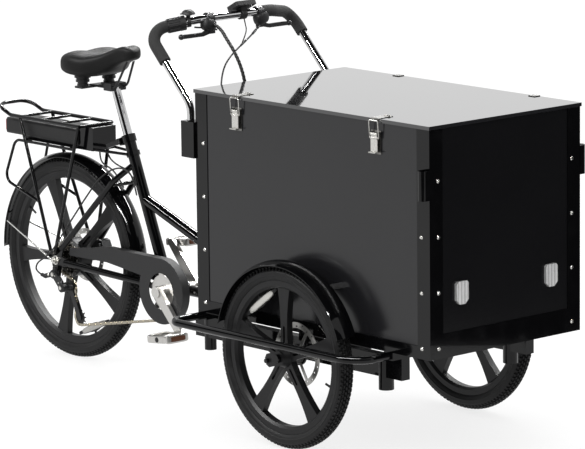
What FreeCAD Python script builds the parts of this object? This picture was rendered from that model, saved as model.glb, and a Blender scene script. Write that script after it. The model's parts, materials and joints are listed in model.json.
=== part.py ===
"""Cargo tricycle: lidded box on a two-wheel carriage, steered by a bar fixed to the box,
pushed by a rear frame with one driven wheel, a chain and a battery under the rack.

Millimetres. +X forward, +Y to the rider's left, +Z up. The origin is on the ground
under the middle of the whole tricycle.
"""
import FreeCAD, Part
import math
import os
from FreeCAD import Vector

# Clearances shared by all pieces
RUNNING_FIT = 0.05
SLIDE_FIT = 0.10
SIDE_PLAY = 0.4
AIR = 1.5
OVERRUN = 5.0

# Wheels and tyres
REAR_TYRE_RADIUS = 303.0
FRONT_TYRE_RADIUS = 254.0
TYRE_WIDTH = 50.0
TYRE_DEPTH = 42.0
RIM_DEPTH = 22.0
RIM_WIDTH = 34.0
RIM_WALL = 7.0
TYRE_WAIST_SHARE = 0.5
TYRE_SHOULDER_SHARE = 0.14
TYRE_EDGE_SHARE = 0.76
SPOKE_COUNT = 5
SPOKE_ROOT_WIDTH = 36.0
SPOKE_WAIST_WIDTH = 27.0
SPOKE_END_WIDTH = 50.0
SPOKE_THICK = 20.0
SPOKE_SLOT_WIDTH = 7.0
SPOKE_SLOT_START = 10.0
SPOKE_SLOT_LENGTH = 44.0
FRONT_SPOKE_ANGLE = 90.0
REAR_SPOKE_ANGLE = 41.0
WHEELBASE = 1329.0
WHEEL_OUTSET = 59.5

# Front hubs, stub axles and discs
HUB_RADIUS = 29.0
HUB_INNER_REACH = 37.0
HUB_OUTER_REACH = 32.0
HUB_NOSE_SHARE = 0.7
AXLE_RADIUS = 7.5
AXLE_NUT_RADIUS = 12.0
AXLE_NUT_LENGTH = 11.0
AXLE_COLLAR_RADIUS = 15.0
DISC_RADIUS = 90.0
DISC_BAND = 16.0
DISC_THICK = 2.0
DISC_ARM_WIDTH = 9.0
DISC_ARMS = 6
DISC_HOLE_RADIUS = 2.6
DISC_HOLES = 24
DISC_HUB_RADIUS = 25.0
CALIPER_LENGTH = 52.0
CALIPER_HEIGHT = 38.0
CALIPER_DEPTH = 34.0
CALIPER_ANGLE = 196.0
CALIPER_MOUTH = 2.4
CALIPER_BOLT_RADIUS = 6.0
CALIPER_BOLT_LENGTH = 9.0
CALIPER_ARM_THICK = 5.0
CALIPER_CORNER_SHARE = 0.25

# Reflectors and valves in the wheels
REFLECTOR_LENGTH = 92.0
REFLECTOR_WIDTH = 26.0
REFLECTOR_THICK = 7.0
REFLECTOR_INSET_SHARE = 0.73
VALVE_RADIUS = 3.2
VALVE_LENGTH = 26.0

# Cargo box and lid
BOX_BACK = 893.0
BOX_LENGTH = 937.0
BOX_WIDTH = 565.0
BOX_BOTTOM_Z = 310.0
LID_TOP_Z = 937.0
LID_THICK = 10.0
LID_OVERHANG = 3.0
LID_GAP = 0.4
PANEL_THICK = 9.0
FLOOR_THICK = 12.0
POST_LEG = 48.0
POST_WALL = 2.0
FRONT_RAIL_HEIGHT = 66.0
SIDE_RAIL_HEIGHT = 34.0
SCREW_HEAD_RADIUS = 5.5
SCREW_HEAD_HEIGHT = 3.0
SCREW_TOP_SHARE = 0.6
POST_SCREW_MARGIN = 28.0
POST_SCREW_PITCH = 150.0
POST_SCREWS = 4
POST_SCREW_INSET = 32.0

# Front reflectors on the box
BADGE_WIDTH = 44.0
BADGE_HEIGHT = 62.0
BADGE_DEPTH = 6.0
BADGE_CHAMFER = 12.0
BADGE_INSET = 114.5
BADGE_Z = 479.0

# Lid hinges on the left edge
HINGE_LENGTH = 62.0
HINGE_BARREL_RADIUS = 5.0
HINGE_PIN_RADIUS = 2.5
HINGE_LEAF_THICK = 2.0
HINGE_LEAF_HEIGHT = 40.0
HINGE_FLANGE = 20.0
HINGE_OUTER_SHARE = 0.3
HINGE_PLAY = 0.5
HINGE_REAR_INSET = 230.0
HINGE_FRONT_INSET = 168.0

# Latches on the right side
LATCH_REAR_INSET = 176.0
LATCH_FRONT_INSET = 203.0
LATCH_BASE_WIDTH = 38.0
LATCH_BASE_HEIGHT = 64.0
LATCH_BASE_THICK = 2.0
LATCH_LEVER_WIDTH = 26.0
LATCH_LEVER_LENGTH = 50.0
LATCH_LEVER_THICK = 2.6
LATCH_BOSS_RADIUS = 4.0
LATCH_PIN_RADIUS = 2.0
LATCH_EAR_THICK = 2.0
LATCH_EAR_REACH = 6.0
LATCH_PIVOT_DROP = 42.0
LATCH_PIVOT_OUT = 6.5
LATCH_LINK = 11.0
LATCH_LIP_TURN = 9.0
BAIL_WIRE_RADIUS = 1.5
BAIL_LEAN = 3.5
BAIL_BEND = 5.0
KEEPER_WIDTH = 30.0
KEEPER_REACH = 52.0
KEEPER_THICK = 1.5
KEEPER_LIP = 3.0
KEEPER_LIP_SHARE = 0.3
KEEPER_SCREW_SHARE = 0.4

# Carriage under the box
RAIL_WIDTH = 30.0
RAIL_HEIGHT = 60.0
RAIL_INSET = 47.5
RAIL_BOTTOM_Z = 228.0
RAIL_TAIL = 50.0
CROSS_DEPTH = 34.0
FRONT_CROSS_SETBACK = 162.0
AXLE_BEAM_SIZE = 40.0
REAR_STUB_RADIUS = 17.0
FRONT_STUB_RADIUS = 21.0
STUB_BOTTOM_Z = 192.0
REAR_STUB_SETBACK = 4.0
FRONT_STUB_SETBACK = 221.0
STUB_WALL = 3.0

# Steering head behind the box
HEAD_SETBACK = 43.0
HEAD_RADIUS = 20.0
HEAD_BOTTOM_Z = 255.0
HEAD_TOP_Z = 356.0
KINGPIN_RADIUS = 12.0
FORK_PLATE_THICK = 8.0
FORK_PLATE_HALF = 30.0
HEAD_BACK_THICK = 11.0

# Guard tubes beside the front wheels
GUARD_OUTSET = 117.5
GUARD_REAR_BEND = 34.0
GUARD_FRONT_BEND = 50.0
GUARD_NOSE_SKEW = 45.0

# Fenders
FENDER_GAP = 11.0
FENDER_WALL = 2.0
FENDER_CROWN = 12.0
FRONT_FENDER_HALF = 34.0
REAR_FENDER_HALF = 30.0
FRONT_FENDER_START = 20.0
FRONT_FENDER_END = 166.0
REAR_FENDER_START = 9.0
REAR_FENDER_END = 181.0
FENDER_STRAP_WIDTH = 20.0
FENDER_STRAP_THICK = 3.0
FENDER_STAY_RADIUS = 2.5
FENDER_STRAP_ANGLES = (55.0, 125.0)
FENDER_STAY_ANGLE = 165.0

# Sockets on the box corners
POLE_BORE_RADIUS = 10.0
POLE_SOCKET_RADIUS = 13.0
POLE_SOCKET_HEIGHT = 80.0
POLE_SOCKET_TOP_Z = 820.0
POLE_SOCKET_INSET = 12.0
SLEEVE_HIGHEST_Z = 844.0
SLEEVE_HEIGHT = 102.0
SLEEVE_SIZE = 40.0

# Handlebar
BAR_RADIUS = 11.1
BAR_HALF_SPAN = 270.0
BAR_RISE = 259.0
BAR_FOOT_SETBACK = 33.0
BAR_ELBOW_SHARE = 0.188
BAR_ELBOW_BEND = 60.0
BAR_CORNER_SETBACK = 217.0
BAR_CORNER_DROP = 25.0
BAR_CORNER_BEND = 46.0
BAR_TOP_SETBACK = 145.0
BAR_TOP_Z = 1103.0
BAR_TOP_HALF = 130.0
BAR_TOP_BEND = 60.0
GRIP_RADIUS = 17.0
GRIP_RIGHT_LEG = 112.0
GRIP_LEFT_LEG = 75.0
GRIP_RIGHT_END = 59.0

# Controls on the bar
SHIFTER_RADIUS = 19.0
SHIFTER_LENGTH = 52.0
SHIFTER_RIBS = 12
SHIFTER_RIB_RADIUS = 1.6
SHIFTER_COLLAR_SHARE = 0.7
SHIFTER_COLLAR_RISE = 1.25
CLAMP_RADIUS = 17.0
CLAMP_LENGTH = 20.0
RIGHT_CLAMP_Y = -102.0
LEFT_CLAMP_Y = 84.0
LEVER_PIVOT_DROP = 33.0
LEVER_PIVOT_FORWARD = 8.0
LEVER_PIN_RADIUS = 3.0
LEVER_BOSS_RADIUS = 7.5
LEVER_THICK = 9.0
LEVER_LENGTH = 110.0
LEVER_WIDTH = 11.0
LEVER_KNUCKLE_DROP = 9.0
LEVER_BALL_RADIUS = 8.0
LEVER_CHEEK = 3.0
LEVER_KNEE_SHARE = 0.28
DISPLAY_WIDTH = 76.0
DISPLAY_DEPTH = 48.0
DISPLAY_THICK = 13.0
DISPLAY_TILT = 28.0
DISPLAY_Y = 22.0
DISPLAY_RISE = 24.0
DISPLAY_ROUND = 7.0
BELL_RADIUS = 20.0
BELL_HEIGHT = 13.0
BELL_STEM_RADIUS = 6.0
BELL_RISE = 22.0
BELL_OFFSET = 10.5
BELL_CLAMP_LENGTH = 10.0
BELL_CLAMP_RADIUS = 15.0
BELL_BULGE_SHARE = 0.72
BELL_CAP_RADIUS = 3.0
BELL_LEVER_LENGTH = 25.0
BELL_LEVER_WIDTH = 7.0
BELL_LEVER_THICK = 2.5

# Rear frame tubes
BRACKET_X = 470.0
BRACKET_Z = 272.0
BRACKET_RADIUS = 22.0
BRACKET_HALF = 34.0
SPINDLE_RADIUS = 8.5
SEAT_FOOT_X = 432.0
SEAT_FOOT_Z = 274.0
SEAT_LEAN = 0.40
SEAT_TUBE_RADIUS = 17.0
SEAT_TUBE_TOP_Z = 702.0
POST_RADIUS = 13.6
POST_BORE_DEPTH = 330.0
MAIN_TUBE_RADIUS = 16.0
MAIN_TUBE_SEAT_Z = 520.0
MAIN_TUBE_HEAD_Z = 330.0
DOWN_TUBE_HEAD_Z = 276.0
CHAIN_STAY_RADIUS = 10.5
CHAIN_STAY_FRONT_Y = 20.0
STAY_END_X = 42.0
STAY_END_Z = 300.0
SEAT_STAY_RADIUS = 9.0
SEAT_STAY_TOP_Z = 620.0
SEAT_STAY_SHOULDER_Z = 566.0
SEAT_STAY_SHOULDER_Y = 44.0
SEAT_STAY_SHOULDER_X = 240.0
SEAT_STAY_END_X = 25.0
SEAT_STAY_END_Z = 340.0
SEAT_STAY_BEND = 70.0
DROPOUT_INNER = 67.5
DROPOUT_THICK = 6.0
DROPOUT_END_SHARE = 1.15
SEAT_STAY_TOP_SHARE = 0.7
DROPOUT_RADIUS = 21.0
REAR_AXLE_RADIUS = 6.0
REAR_NUT_RADIUS = 11.0
REAR_NUT_LENGTH = 12.0
REAR_WASHER_RADIUS = 14.0
REAR_WASHER_THICK = 2.0
BRIDGE_RADIUS = 6.0
BRIDGE_Z = 552.0

# Rear hub with its motor, disc and cassette
MOTOR_RADIUS = 58.0
MOTOR_HALF = 29.0
REAR_DISC_Y = 45.0
REAR_DISC_RADIUS = 80.0
REAR_CALIPER_ANGLE = 26.0
REAR_NECK_RADIUS = 9.0
MOTOR_ROUND_SHARE = 0.3
CHAIN_LINE = 49.0
COG_PITCH = 5.0
COG_THICK = 1.8
COG_TEETH = (28, 24, 21, 18, 15, 13, 11)
COG_BORE_RADIUS = 16.0
COG_CHAIN_INDEX = 3

# Chain, chainring and pulleys
CHAIN_PITCH = 12.7
ROLLER_RADIUS = 3.85
ROLLER_CLEARANCE = 0.35
LINK_HALF_HEIGHT = 4.0
LINK_INNER_GAP = 1.35
LINK_PLATE = 0.9
RING_TEETH = 42
RING_THICK = 2.0
RING_BODY_DEPTH = 12.0
SPIDER_RADIUS = 48.0
SPIDER_THICK = 5.0
SPIDER_ARMS = 5
SPIDER_ARM_WIDTH = 20.0
TOOTH_TIP_SHARE = 0.08
TOOTH_ROOT_SHARE = 0.25
TOOTH_HEIGHT = 3.2
PULLEY_TEETH = 11
PULLEY_THICK = 1.8
PULLEY_BOLT_RADIUS = 3.0
GUIDE_PULLEY_X = 40.0
GUIDE_PULLEY_Z = 226.0
TENSION_PULLEY_X = 82.0
TENSION_PULLEY_Z = 136.0

# Cranks and pedals
CRANK_LENGTH = 152.0
CRANK_ANGLE = -47.6
CRANK_INNER = 67.0
CRANK_THICK = 13.0
CRANK_ROOT_RADIUS = 17.0
CRANK_END_RADIUS = 12.5
CRANK_CAP = 4.0
PEDAL_AXLE_RADIUS = 5.0
PEDAL_LENGTH = 92.0
PEDAL_WIDTH = 84.0
PEDAL_HEIGHT = 26.0
PEDAL_WALL = 7.0
PEDAL_CORE = 22.0
PEDAL_GAP = 3.0
PEDAL_TILT = 6.0
PEDAL_LENS = 2.5
PEDAL_LENS_SHARE = 0.6

# Chain case
CASE_RADIUS = 97.0
CASE_WINDOW_RADIUS = 54.0
CASE_OUTER_Y = 62.0
CASE_WALL = 2.0
CASE_DEPTH = 28.0
CASE_TAIL_X = 52.0
CASE_TAIL_TOP_Z = 345.0
CASE_TAIL_LOW_Z = 322.0
CASE_BACK_X = 225.0
CASE_LOW_MID_X = 225.0
CASE_LOW_MID_Z = 325.0
CASE_LOW_ANGLE = 158.0
CASE_RIM_START_X = 165.0
CASE_EXIT_ANGLES = (160.0, 268.0)
CASE_ARM_WIDTH = 16.0
CASE_RING_RADIUS = 34.0
CASE_ARM_ANGLES = (60.0, 140.0)
CASE_EXIT_MIDDLE = 214.0

# Derailleur
CAGE_PLATE_THICK = 2.0
CAGE_WIDTH = 17.0
CAGE_HALF_GAP = 4.2
DERAIL_BODY_THICK = 15.0
DERAIL_KNUCKLE_RADIUS = 13.0
CAGE_PIVOT_RADIUS = 5.0
HANGER_X = 4.0
HANGER_Z = 262.0
DERAIL_TAIL_X = -38.0
DERAIL_TAIL_Z = 250.0
DERAIL_TAIL_RADIUS = 8.0

# Seat post, clamp and saddle
SEAT_COLLAR_RADIUS = 21.0
SEAT_COLLAR_HEIGHT = 22.0
SEAT_LUG_REACH = 16.0
SEAT_LUG_WIDTH = 22.0
QR_PIN_RADIUS = 3.0
QR_LEVER_LENGTH = 46.0
QR_LEVER_WIDTH = 13.0
QR_LEVER_THICK = 6.0
QR_CHEEK = 2.0
POST_TOP_Z = 846.0
POST_INSERT = 200.0
SADDLE_REAR_X = 42.0
SADDLE_LENGTH = 276.0
SADDLE_BASE_Z = 876.0
SADDLE_HALF_WIDTH = 106.0
SADDLE_RISE = 90.0
SADDLE_TUCK_SHARE = 0.86
SADDLE_EDGE_SHARE = 0.74
SADDLE_BULGE_SHARE = 0.42
SADDLE_SHOULDER_SHARE = 0.86
SADDLE_SHARES = ((0.0, 0.62, 0.12, 0.5), (0.06, 0.86, 0.04, 0.68), (0.22, 1.0, 0.0, 0.8),
                 (0.42, 0.8, 0.0, 0.78), (0.62, 0.45, 0.14, 0.83), (0.82, 0.31, 0.46, 0.96),
                 (0.95, 0.27, 0.58, 1.0), (1.0, 0.19, 0.62, 0.86))
SADDLE_RAIL_RADIUS = 3.5
SADDLE_RAIL_Y = 22.0
SADDLE_RAIL_DROP = 8.0
SADDLE_RAIL_BEND_X = 232.0
SADDLE_RAIL_BEND = 40.0
SADDLE_RAIL_NOSE_SHARE = 0.88
SADDLE_RAIL_RISE_SHARE = 0.66
SADDLE_CLAMP_CAP = 6.0
SADDLE_CLAMP_SIZE = 34.0
SPRING_RADIUS = 28.0
SPRING_FOOT_SHARE = 0.6
SPRING_GROOVE = 3.5
SPRING_RIBS = 4
SPRING_X = 116.0
SPRING_Y = 50.0
SPRING_PLATE = 6.0

# Rack, battery and rear light
RACK_TUBE_RADIUS = 5.8
RACK_LEG_RADIUS = 5.2
TRAY_TIE_RADIUS = 3.5
RACK_HALF_WIDTH = 62.0
RACK_Z = 716.0
RACK_FRONT_X = 112.0
RACK_LEG_REAR_X = -171.0
RACK_LEG_FRONT_X = 106.0
RACK_TAIL_X = -284.0
RACK_TAIL_RISE = 26.0
RACK_LOOP_BEND = 40.0
RACK_BACK_X = -215.0
RACK_FOOT_FRONT_X = 6.0
RACK_FOOT_REAR_X = -14.0
RACK_COLLAR_Z = 642.0
RACK_COLLAR_HEIGHT = 14.0
TRAY_TIE_XS = (-150.0, 60.0)
RACK_LEG_Y = 79.8
RACK_FOOT_Z = 328.0
RACK_GUARD_TOP_Z = 645.0
RACK_GUARD_TAIL_X = -236.0
RACK_GUARD_TAIL_Z = 520.0
RACK_GUARD_BACK_X = -190.0
RACK_GUARD_BEND = 30.0
RACK_GUARD_LOW_Z = 470.0
RACK_GUARD_RADIUS = 4.4
RACK_CROSSBAR_SHARES = (0, 1 / 3, 2 / 3, 1)
BATTERY_LENGTH = 350.0
BATTERY_TAIL_X = -264.0
BATTERY_HALF_WIDTH = 50.0
BATTERY_HEIGHT = 48.0
BATTERY_TOP_Z = 704.0
BATTERY_ROUND = 8.0
LAMP_LENGTH = 12.0
DOCK_LENGTH = 64.0

# Cables: diameters, and routes as points chosen by hand. The two from the bar are set back from the box
# and stand at shares of the height between the box's hole and the bar; the gear cable counts from the
# rear axle
BUNDLE_RADIUS = 5.0
CABLE_RADIUS = 2.5
CABLE_BEND_SHARE = 0.45
BUNDLE_SETBACKS = (124.5, 93.0, 59.0, 37.0, 27.0, 25.0, 25.0, -1.6)
BUNDLE_YS = (-102.0, -96.0, -82.0, -72.0, -68.0, -64.0, -64.0, -64.0)
BUNDLE_RISE_SHARES = (1, 0.94, 0.7915, 0.6007, 0.3887, 0.1943, 0, 0)
BUNDLE_HOLE_Z = 790.0
BUNDLE_BAR_DROP = 30.0
THIN_SETBACKS = (125.0, 109.0, 95.0, 69.0, 43.0, 31.0, 23.0, 23.0, -1.6)
THIN_YS = (70.0, 34.0, -30.0, -104.0, -146.0, -160.0, -168.0, -168.0, -168.0)
THIN_RISE_SHARES = (1, 0.934, 0.8315, 0.7143, 0.586, 0.403, 0.2015, 0, 0)
THIN_HOLE_Z = 795.0
THIN_BAR_DROP = 35.0
GEAR_ROUTE = ((318, -20.5, 560), (306, -27, 596), (268, -46, 616), (200, -60, 578), (138, -66, 508),
              (88, -78, 440), (44, -88, 380), (8, -92, 334), (-34, -92, 306), (-72, -89, 286),
              (-84, -84, 258), (-46.8, -82.5, 250))

# Places worked out from the sizes above
REAR_REACH = REAR_TYRE_RADIUS + FENDER_GAP + FENDER_WALL
FRONT_REACH = BOX_BACK + BOX_LENGTH + BADGE_DEPTH
REAR_X = -(FRONT_REACH - REAR_REACH) / 2
FRONT_X = REAR_X + WHEELBASE
BOX_REAR_X = REAR_X + BOX_BACK
BOX_FRONT_X = BOX_REAR_X + BOX_LENGTH
BOX_HALF = BOX_WIDTH / 2
PANEL_HALF = BOX_HALF - POST_WALL
LID_HALF = BOX_HALF + LID_OVERHANG
LID_BOTTOM_Z = LID_TOP_Z - LID_THICK
BOX_TOP_Z = LID_BOTTOM_Z - LID_GAP
WHEEL_Y = BOX_HALF + WHEEL_OUTSET
GUARD_Y = BOX_HALF + GUARD_OUTSET
RAIL_Y = BOX_HALF - RAIL_INSET
BADGE_Y = BOX_HALF - BADGE_INSET
BAR_CORNER_Z = BAR_TOP_Z - BAR_CORNER_DROP
# The sleeves stand at the box's top edge, or lower where a low bar needs the length of its legs
SLEEVE_TOP_Z = min(SLEEVE_HIGHEST_Z, BAR_TOP_Z - BAR_RISE)
SLEEVE_BOTTOM_Z = SLEEVE_TOP_Z - SLEEVE_HEIGHT
BAR_ELBOW_Z = SLEEVE_TOP_Z + (BAR_CORNER_Z - SLEEVE_TOP_Z) * BAR_ELBOW_SHARE
HEAD_X = BOX_REAR_X - HEAD_SETBACK
HINGE_Y = LID_HALF + HINGE_BARREL_RADIUS + HINGE_PLAY
HINGE_Z = LID_BOTTOM_Z
LATCH_PIVOT_Y = -(PANEL_HALF + LATCH_BASE_THICK + LATCH_PIVOT_OUT)
LATCH_PIVOT_Z = LID_TOP_Z - LATCH_PIVOT_DROP
LATCH_XS = {"rear": BOX_REAR_X + LATCH_REAR_INSET, "front": BOX_FRONT_X - LATCH_FRONT_INSET}
HINGE_XS = (BOX_REAR_X + HINGE_REAR_INSET, BOX_FRONT_X - HINGE_FRONT_INSET)
CRANK_X = REAR_X + BRACKET_X
SEAT_UP = Vector(-SEAT_LEAN, 0, 1)
SEAT_UP.normalize()
LEVER_YS = {"right": RIGHT_CLAMP_Y, "left": LEFT_CLAMP_Y}


def from_rear(x, y, z):
    """A point whose x is measured forward from the rear axle."""
    return Vector(REAR_X + x, y, z)


def block(xs, ys, zs):
    """A box between pairs of coordinates."""
    size = (max(xs) - min(xs), max(ys) - min(ys), max(zs) - min(zs))
    return Part.makeBox(*size, Vector(min(xs), min(ys), min(zs)))


def rod(start, end, radius):
    """A round bar between two points."""
    way = end - start
    return Part.makeCylinder(radius, way.Length, start, way)


def fused(shapes):
    """One solid from shapes that meet."""
    shapes = list(shapes)
    if len(shapes) == 1:
        return shapes[0]
    return shapes[0].multiFuse(shapes[1:]).removeSplitter()


def group(shapes):
    """Separate solids that share a node."""
    solids = []
    for shape in shapes:
        solids.extend(shape.Solids)
    return Part.makeCompound(solids)


def mirrored(shape):
    """The same shape on the other side of the centre plane."""
    return shape.mirror(Vector(0, 0, 0), Vector(0, 1, 0))


def both_sides(shape):
    return group([shape, mirrored(shape)])


def closed_wire(points, place):
    """A closed wire; an item of two points is an arc's middle and its end."""
    edges = []
    last = points[0]
    for item in list(points[1:]) + [points[0]]:
        if isinstance(item[0], tuple):
            middle, end = item
            edges.append(Part.Arc(place(last), place(middle), place(end)).toShape())
            last = end
        elif item != last:
            edges.append(Part.LineSegment(place(last), place(item)).toShape())
            last = item
    return Part.Wire(edges)


def plate_y(points, y0, y1):
    """An outline of (x, z) points given thickness along Y."""
    wire = closed_wire(points, lambda p: Vector(p[0], y0, p[1]))
    return Part.Face(wire).extrude(Vector(0, y1 - y0, 0))


def plate_x(points, x0, x1):
    """An outline of (y, z) points given thickness along X."""
    wire = closed_wire(points, lambda p: Vector(x0, p[0], p[1]))
    return Part.Face(wire).extrude(Vector(x1 - x0, 0, 0))


def plate_z(points, z0, z1):
    """An outline of (x, y) points given thickness along Z."""
    wire = closed_wire(points, lambda p: Vector(p[0], p[1], z0))
    return Part.Face(wire).extrude(Vector(0, 0, z1 - z0))


def turned(points, x, z, start=0, sweep=360):
    """An outline of (radius, y) points turned about the Y line through x, z."""
    wire = closed_wire(points, lambda p: Vector(x + p[0], p[1], z))
    face = Part.Face(wire)
    face.rotate(Vector(x, 0, z), Vector(0, -1, 0), start)
    return face.revolve(Vector(x, 0, z), Vector(0, -1, 0), sweep)


def spun(shape, x, z, angle):
    """A copy turned about the Y line through x, z, forward towards up."""
    copy = shape.copy()
    copy.rotate(Vector(x, 0, z), Vector(0, -1, 0), angle)
    return copy


def polar(x, z, radius, angle):
    """The x, z of a point at an angle from forward, towards up."""
    turn = math.radians(angle)
    return (x + radius * math.cos(turn), z + radius * math.sin(turn))


def bent_path(points, bends):
    """Straight runs through points, with an arc of the given radius at each inner point."""
    edges = []
    last = points[0]
    for before, corner, after, bend in zip(points, points[1:], points[2:], bends):
        arrive = (corner - before).normalize()
        leave = (after - corner).normalize()
        turn = arrive.getAngle(leave)
        run = bend * math.tan(turn / 2)
        start = corner - arrive * run
        end = corner + leave * run
        inward = (leave - arrive).normalize()
        middle = corner + inward * (bend / math.cos(turn / 2) - bend)
        if (start - last).Length > RUNNING_FIT:
            edges.append(Part.LineSegment(last, start).toShape())
        edges.append(Part.Arc(start, middle, end).toShape())
        last = end
    edges.append(Part.LineSegment(last, points[-1]).toShape())
    return Part.Wire(edges)


def piped(path, radius):
    """A round bar along a path."""
    start = path.Edges[0]
    way = start.tangentAt(start.FirstParameter)
    ring = Part.Wire(Part.makeCircle(radius, path.OrderedVertexes[0].Point, way))
    return path.makePipeShell([ring], True, False)


def bent_tube(points, bends, radius):
    return piped(bent_path(points, bends), radius)


def cable(points, radius):
    """A held cable: straight runs with each arc as large as its two runs allow."""
    bends = []
    for before, corner, after in zip(points, points[1:], points[2:]):
        turn = (corner - before).getAngle(after - corner)
        shorter = min((corner - before).Length, (after - corner).Length)
        bends.append(CABLE_BEND_SHARE * shorter / math.tan(turn / 2))
    print("cable bend radii", [round(bend) for bend in bends])
    return bent_tube(points, bends, radius)


def tyre(x, radius):
    """Balloon tyre centred on the plane y = 0: bulging sides and a crowned tread."""
    inner = radius - TYRE_DEPTH
    half = TYRE_WIDTH / 2
    bead = RIM_WIDTH / 2
    waist = inner + TYRE_DEPTH * TYRE_WAIST_SHARE
    shoulder = radius - TYRE_DEPTH * TYRE_SHOULDER_SHARE
    edge = half * TYRE_EDGE_SHARE
    profile = [(inner, -bead), ((waist, -half), (shoulder, -edge)), ((radius, 0), (shoulder, edge)),
               ((waist, half), (inner, bead))]
    return turned(profile, x, radius)


def spoke(x, z, hub_radius, rim_radius):
    """One cast spoke pointing forward: waisted sides and a slot near its root."""
    root = SPOKE_ROOT_WIDTH / 2
    waist = SPOKE_WAIST_WIDTH / 2
    end = SPOKE_END_WIDTH / 2
    start = x + hub_radius - root
    stop = x + rim_radius + RIM_WALL
    middle = (start + stop) / 2
    outline = [(start, z - root), ((middle, z - waist), (stop, z - end)), (stop, z + end),
               ((middle, z + waist), (start, z + root))]
    body = plate_y(outline, -SPOKE_THICK / 2, SPOKE_THICK / 2)
    return body.cut(spoke_slot(x + hub_radius + SPOKE_SLOT_START, z))


def spoke_slot(x, z):
    half = SPOKE_SLOT_WIDTH / 2
    end = x + SPOKE_SLOT_LENGTH
    outline = [(x, z - half), (end, z - half), ((end + half, z), (end, z + half)), (x, z + half),
               ((x - half, z), (x, z - half))]
    return plate_y(outline, -SPOKE_THICK, SPOKE_THICK)


def cast_wheel(x, radius, hub, hub_radius, angle):
    """Rim, hub and spokes as one casting on the plane y = 0."""
    outer = radius - TYRE_DEPTH
    inner = outer - RIM_DEPTH
    half = RIM_WIDTH / 2
    rim = turned([(inner, -half + RIM_WALL), (inner + RIM_WALL, -half), (outer, -half), (outer, half),
                  (inner + RIM_WALL, half), (inner, half - RIM_WALL)], x, radius)
    arm = spoke(x, radius, hub_radius, inner)
    step = 360 / SPOKE_COUNT
    arms = [spun(arm, x, radius, angle + step * i) for i in range(SPOKE_COUNT)]
    return fused([rim, turned(hub, x, radius)] + arms)


def front_hub_outline():
    bore = AXLE_RADIUS + RUNNING_FIT
    nose = HUB_RADIUS * HUB_NOSE_SHARE
    half = SPOKE_THICK / 2
    return [(bore, -HUB_OUTER_REACH), (nose, -HUB_OUTER_REACH), (HUB_RADIUS, -half), (HUB_RADIUS, half),
            (DISC_HUB_RADIUS, HUB_INNER_REACH), (bore, HUB_INNER_REACH)]


def to_right_wheel(shape):
    """Moves a shape from the centre plane to the right front wheel."""
    shape.translate(Vector(0, -WHEEL_Y, 0))
    return shape


def front_wheel():
    return to_right_wheel(cast_wheel(FRONT_X, FRONT_TYRE_RADIUS, front_hub_outline(), HUB_RADIUS,
                                     FRONT_SPOKE_ANGLE))


def front_tyre():
    return to_right_wheel(tyre(FRONT_X, FRONT_TYRE_RADIUS))


def disc(x, z, radius, bore, y):
    """Drilled brake disc: a band carried by curved-in arms on a hub ring."""
    band = turned([(radius - DISC_BAND, y), (radius, y), (radius, y + DISC_THICK),
                   (radius - DISC_BAND, y + DISC_THICK)], x, z)
    ring = turned([(bore, y), (DISC_HUB_RADIUS, y), (DISC_HUB_RADIUS, y + DISC_THICK),
                   (bore, y + DISC_THICK)], x, z)
    half = DISC_ARM_WIDTH / 2
    middle = radius - DISC_BAND / 2
    arm = block((x + (bore + DISC_HUB_RADIUS) / 2, x + middle), (y, y + DISC_THICK), (z - half, z + half))
    arms = [spun(arm, x, z, 360 / DISC_ARMS * i) for i in range(DISC_ARMS)]
    whole = fused([band, ring] + arms)
    holes = []
    for i in range(DISC_HOLES):
        reach = middle + (i % 2 * 2 - 1) * DISC_HOLE_RADIUS
        hole_x, hole_z = polar(x, z, reach, 360 / DISC_HOLES * i)
        holes.append(rod(Vector(hole_x, y - OVERRUN, hole_z), Vector(hole_x, y + OVERRUN, hole_z),
                         DISC_HOLE_RADIUS))
    return whole.cut(holes)


def wheel_reflector(x, z, rim_radius, angle):
    """Oval reflector that bridges two spokes just inside the rim."""
    reach = rim_radius - REFLECTOR_WIDTH * REFLECTOR_INSET_SHARE
    half_long = REFLECTOR_LENGTH / 2
    half_wide = REFLECTOR_WIDTH / 2
    centre = x + reach
    outline = [(centre, z - half_long), ((centre + half_wide, z), (centre, z + half_long)),
               ((centre - half_wide, z), (centre, z - half_long))]
    half = REFLECTOR_THICK / 2
    lens = plate_y(outline, -half, half)
    foot = block((centre, x + rim_radius - RUNNING_FIT), (-half / 2, half / 2), (z - half, z + half))
    return spun(fused([lens, foot]), x, z, angle)


def valve(x, z, rim_radius, angle):
    """Valve stem that points from the rim towards the hub."""
    start = x + rim_radius - RUNNING_FIT
    stem = rod(Vector(start, 0, z), Vector(start - VALVE_LENGTH, 0, z), VALVE_RADIUS)
    return spun(stem, x, z, angle)


def front_wheel_fittings():
    rim = FRONT_TYRE_RADIUS - TYRE_DEPTH - RIM_DEPTH
    gap = 180 / SPOKE_COUNT
    bore = AXLE_COLLAR_RADIUS - AIR
    parts = [disc(FRONT_X, FRONT_TYRE_RADIUS, DISC_RADIUS, bore, HUB_INNER_REACH),
             wheel_reflector(FRONT_X, FRONT_TYRE_RADIUS, rim, FRONT_SPOKE_ANGLE + gap),
             valve(FRONT_X, FRONT_TYRE_RADIUS, rim, FRONT_SPOKE_ANGLE - 3 * gap)]
    return to_right_wheel(group(parts))


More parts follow.
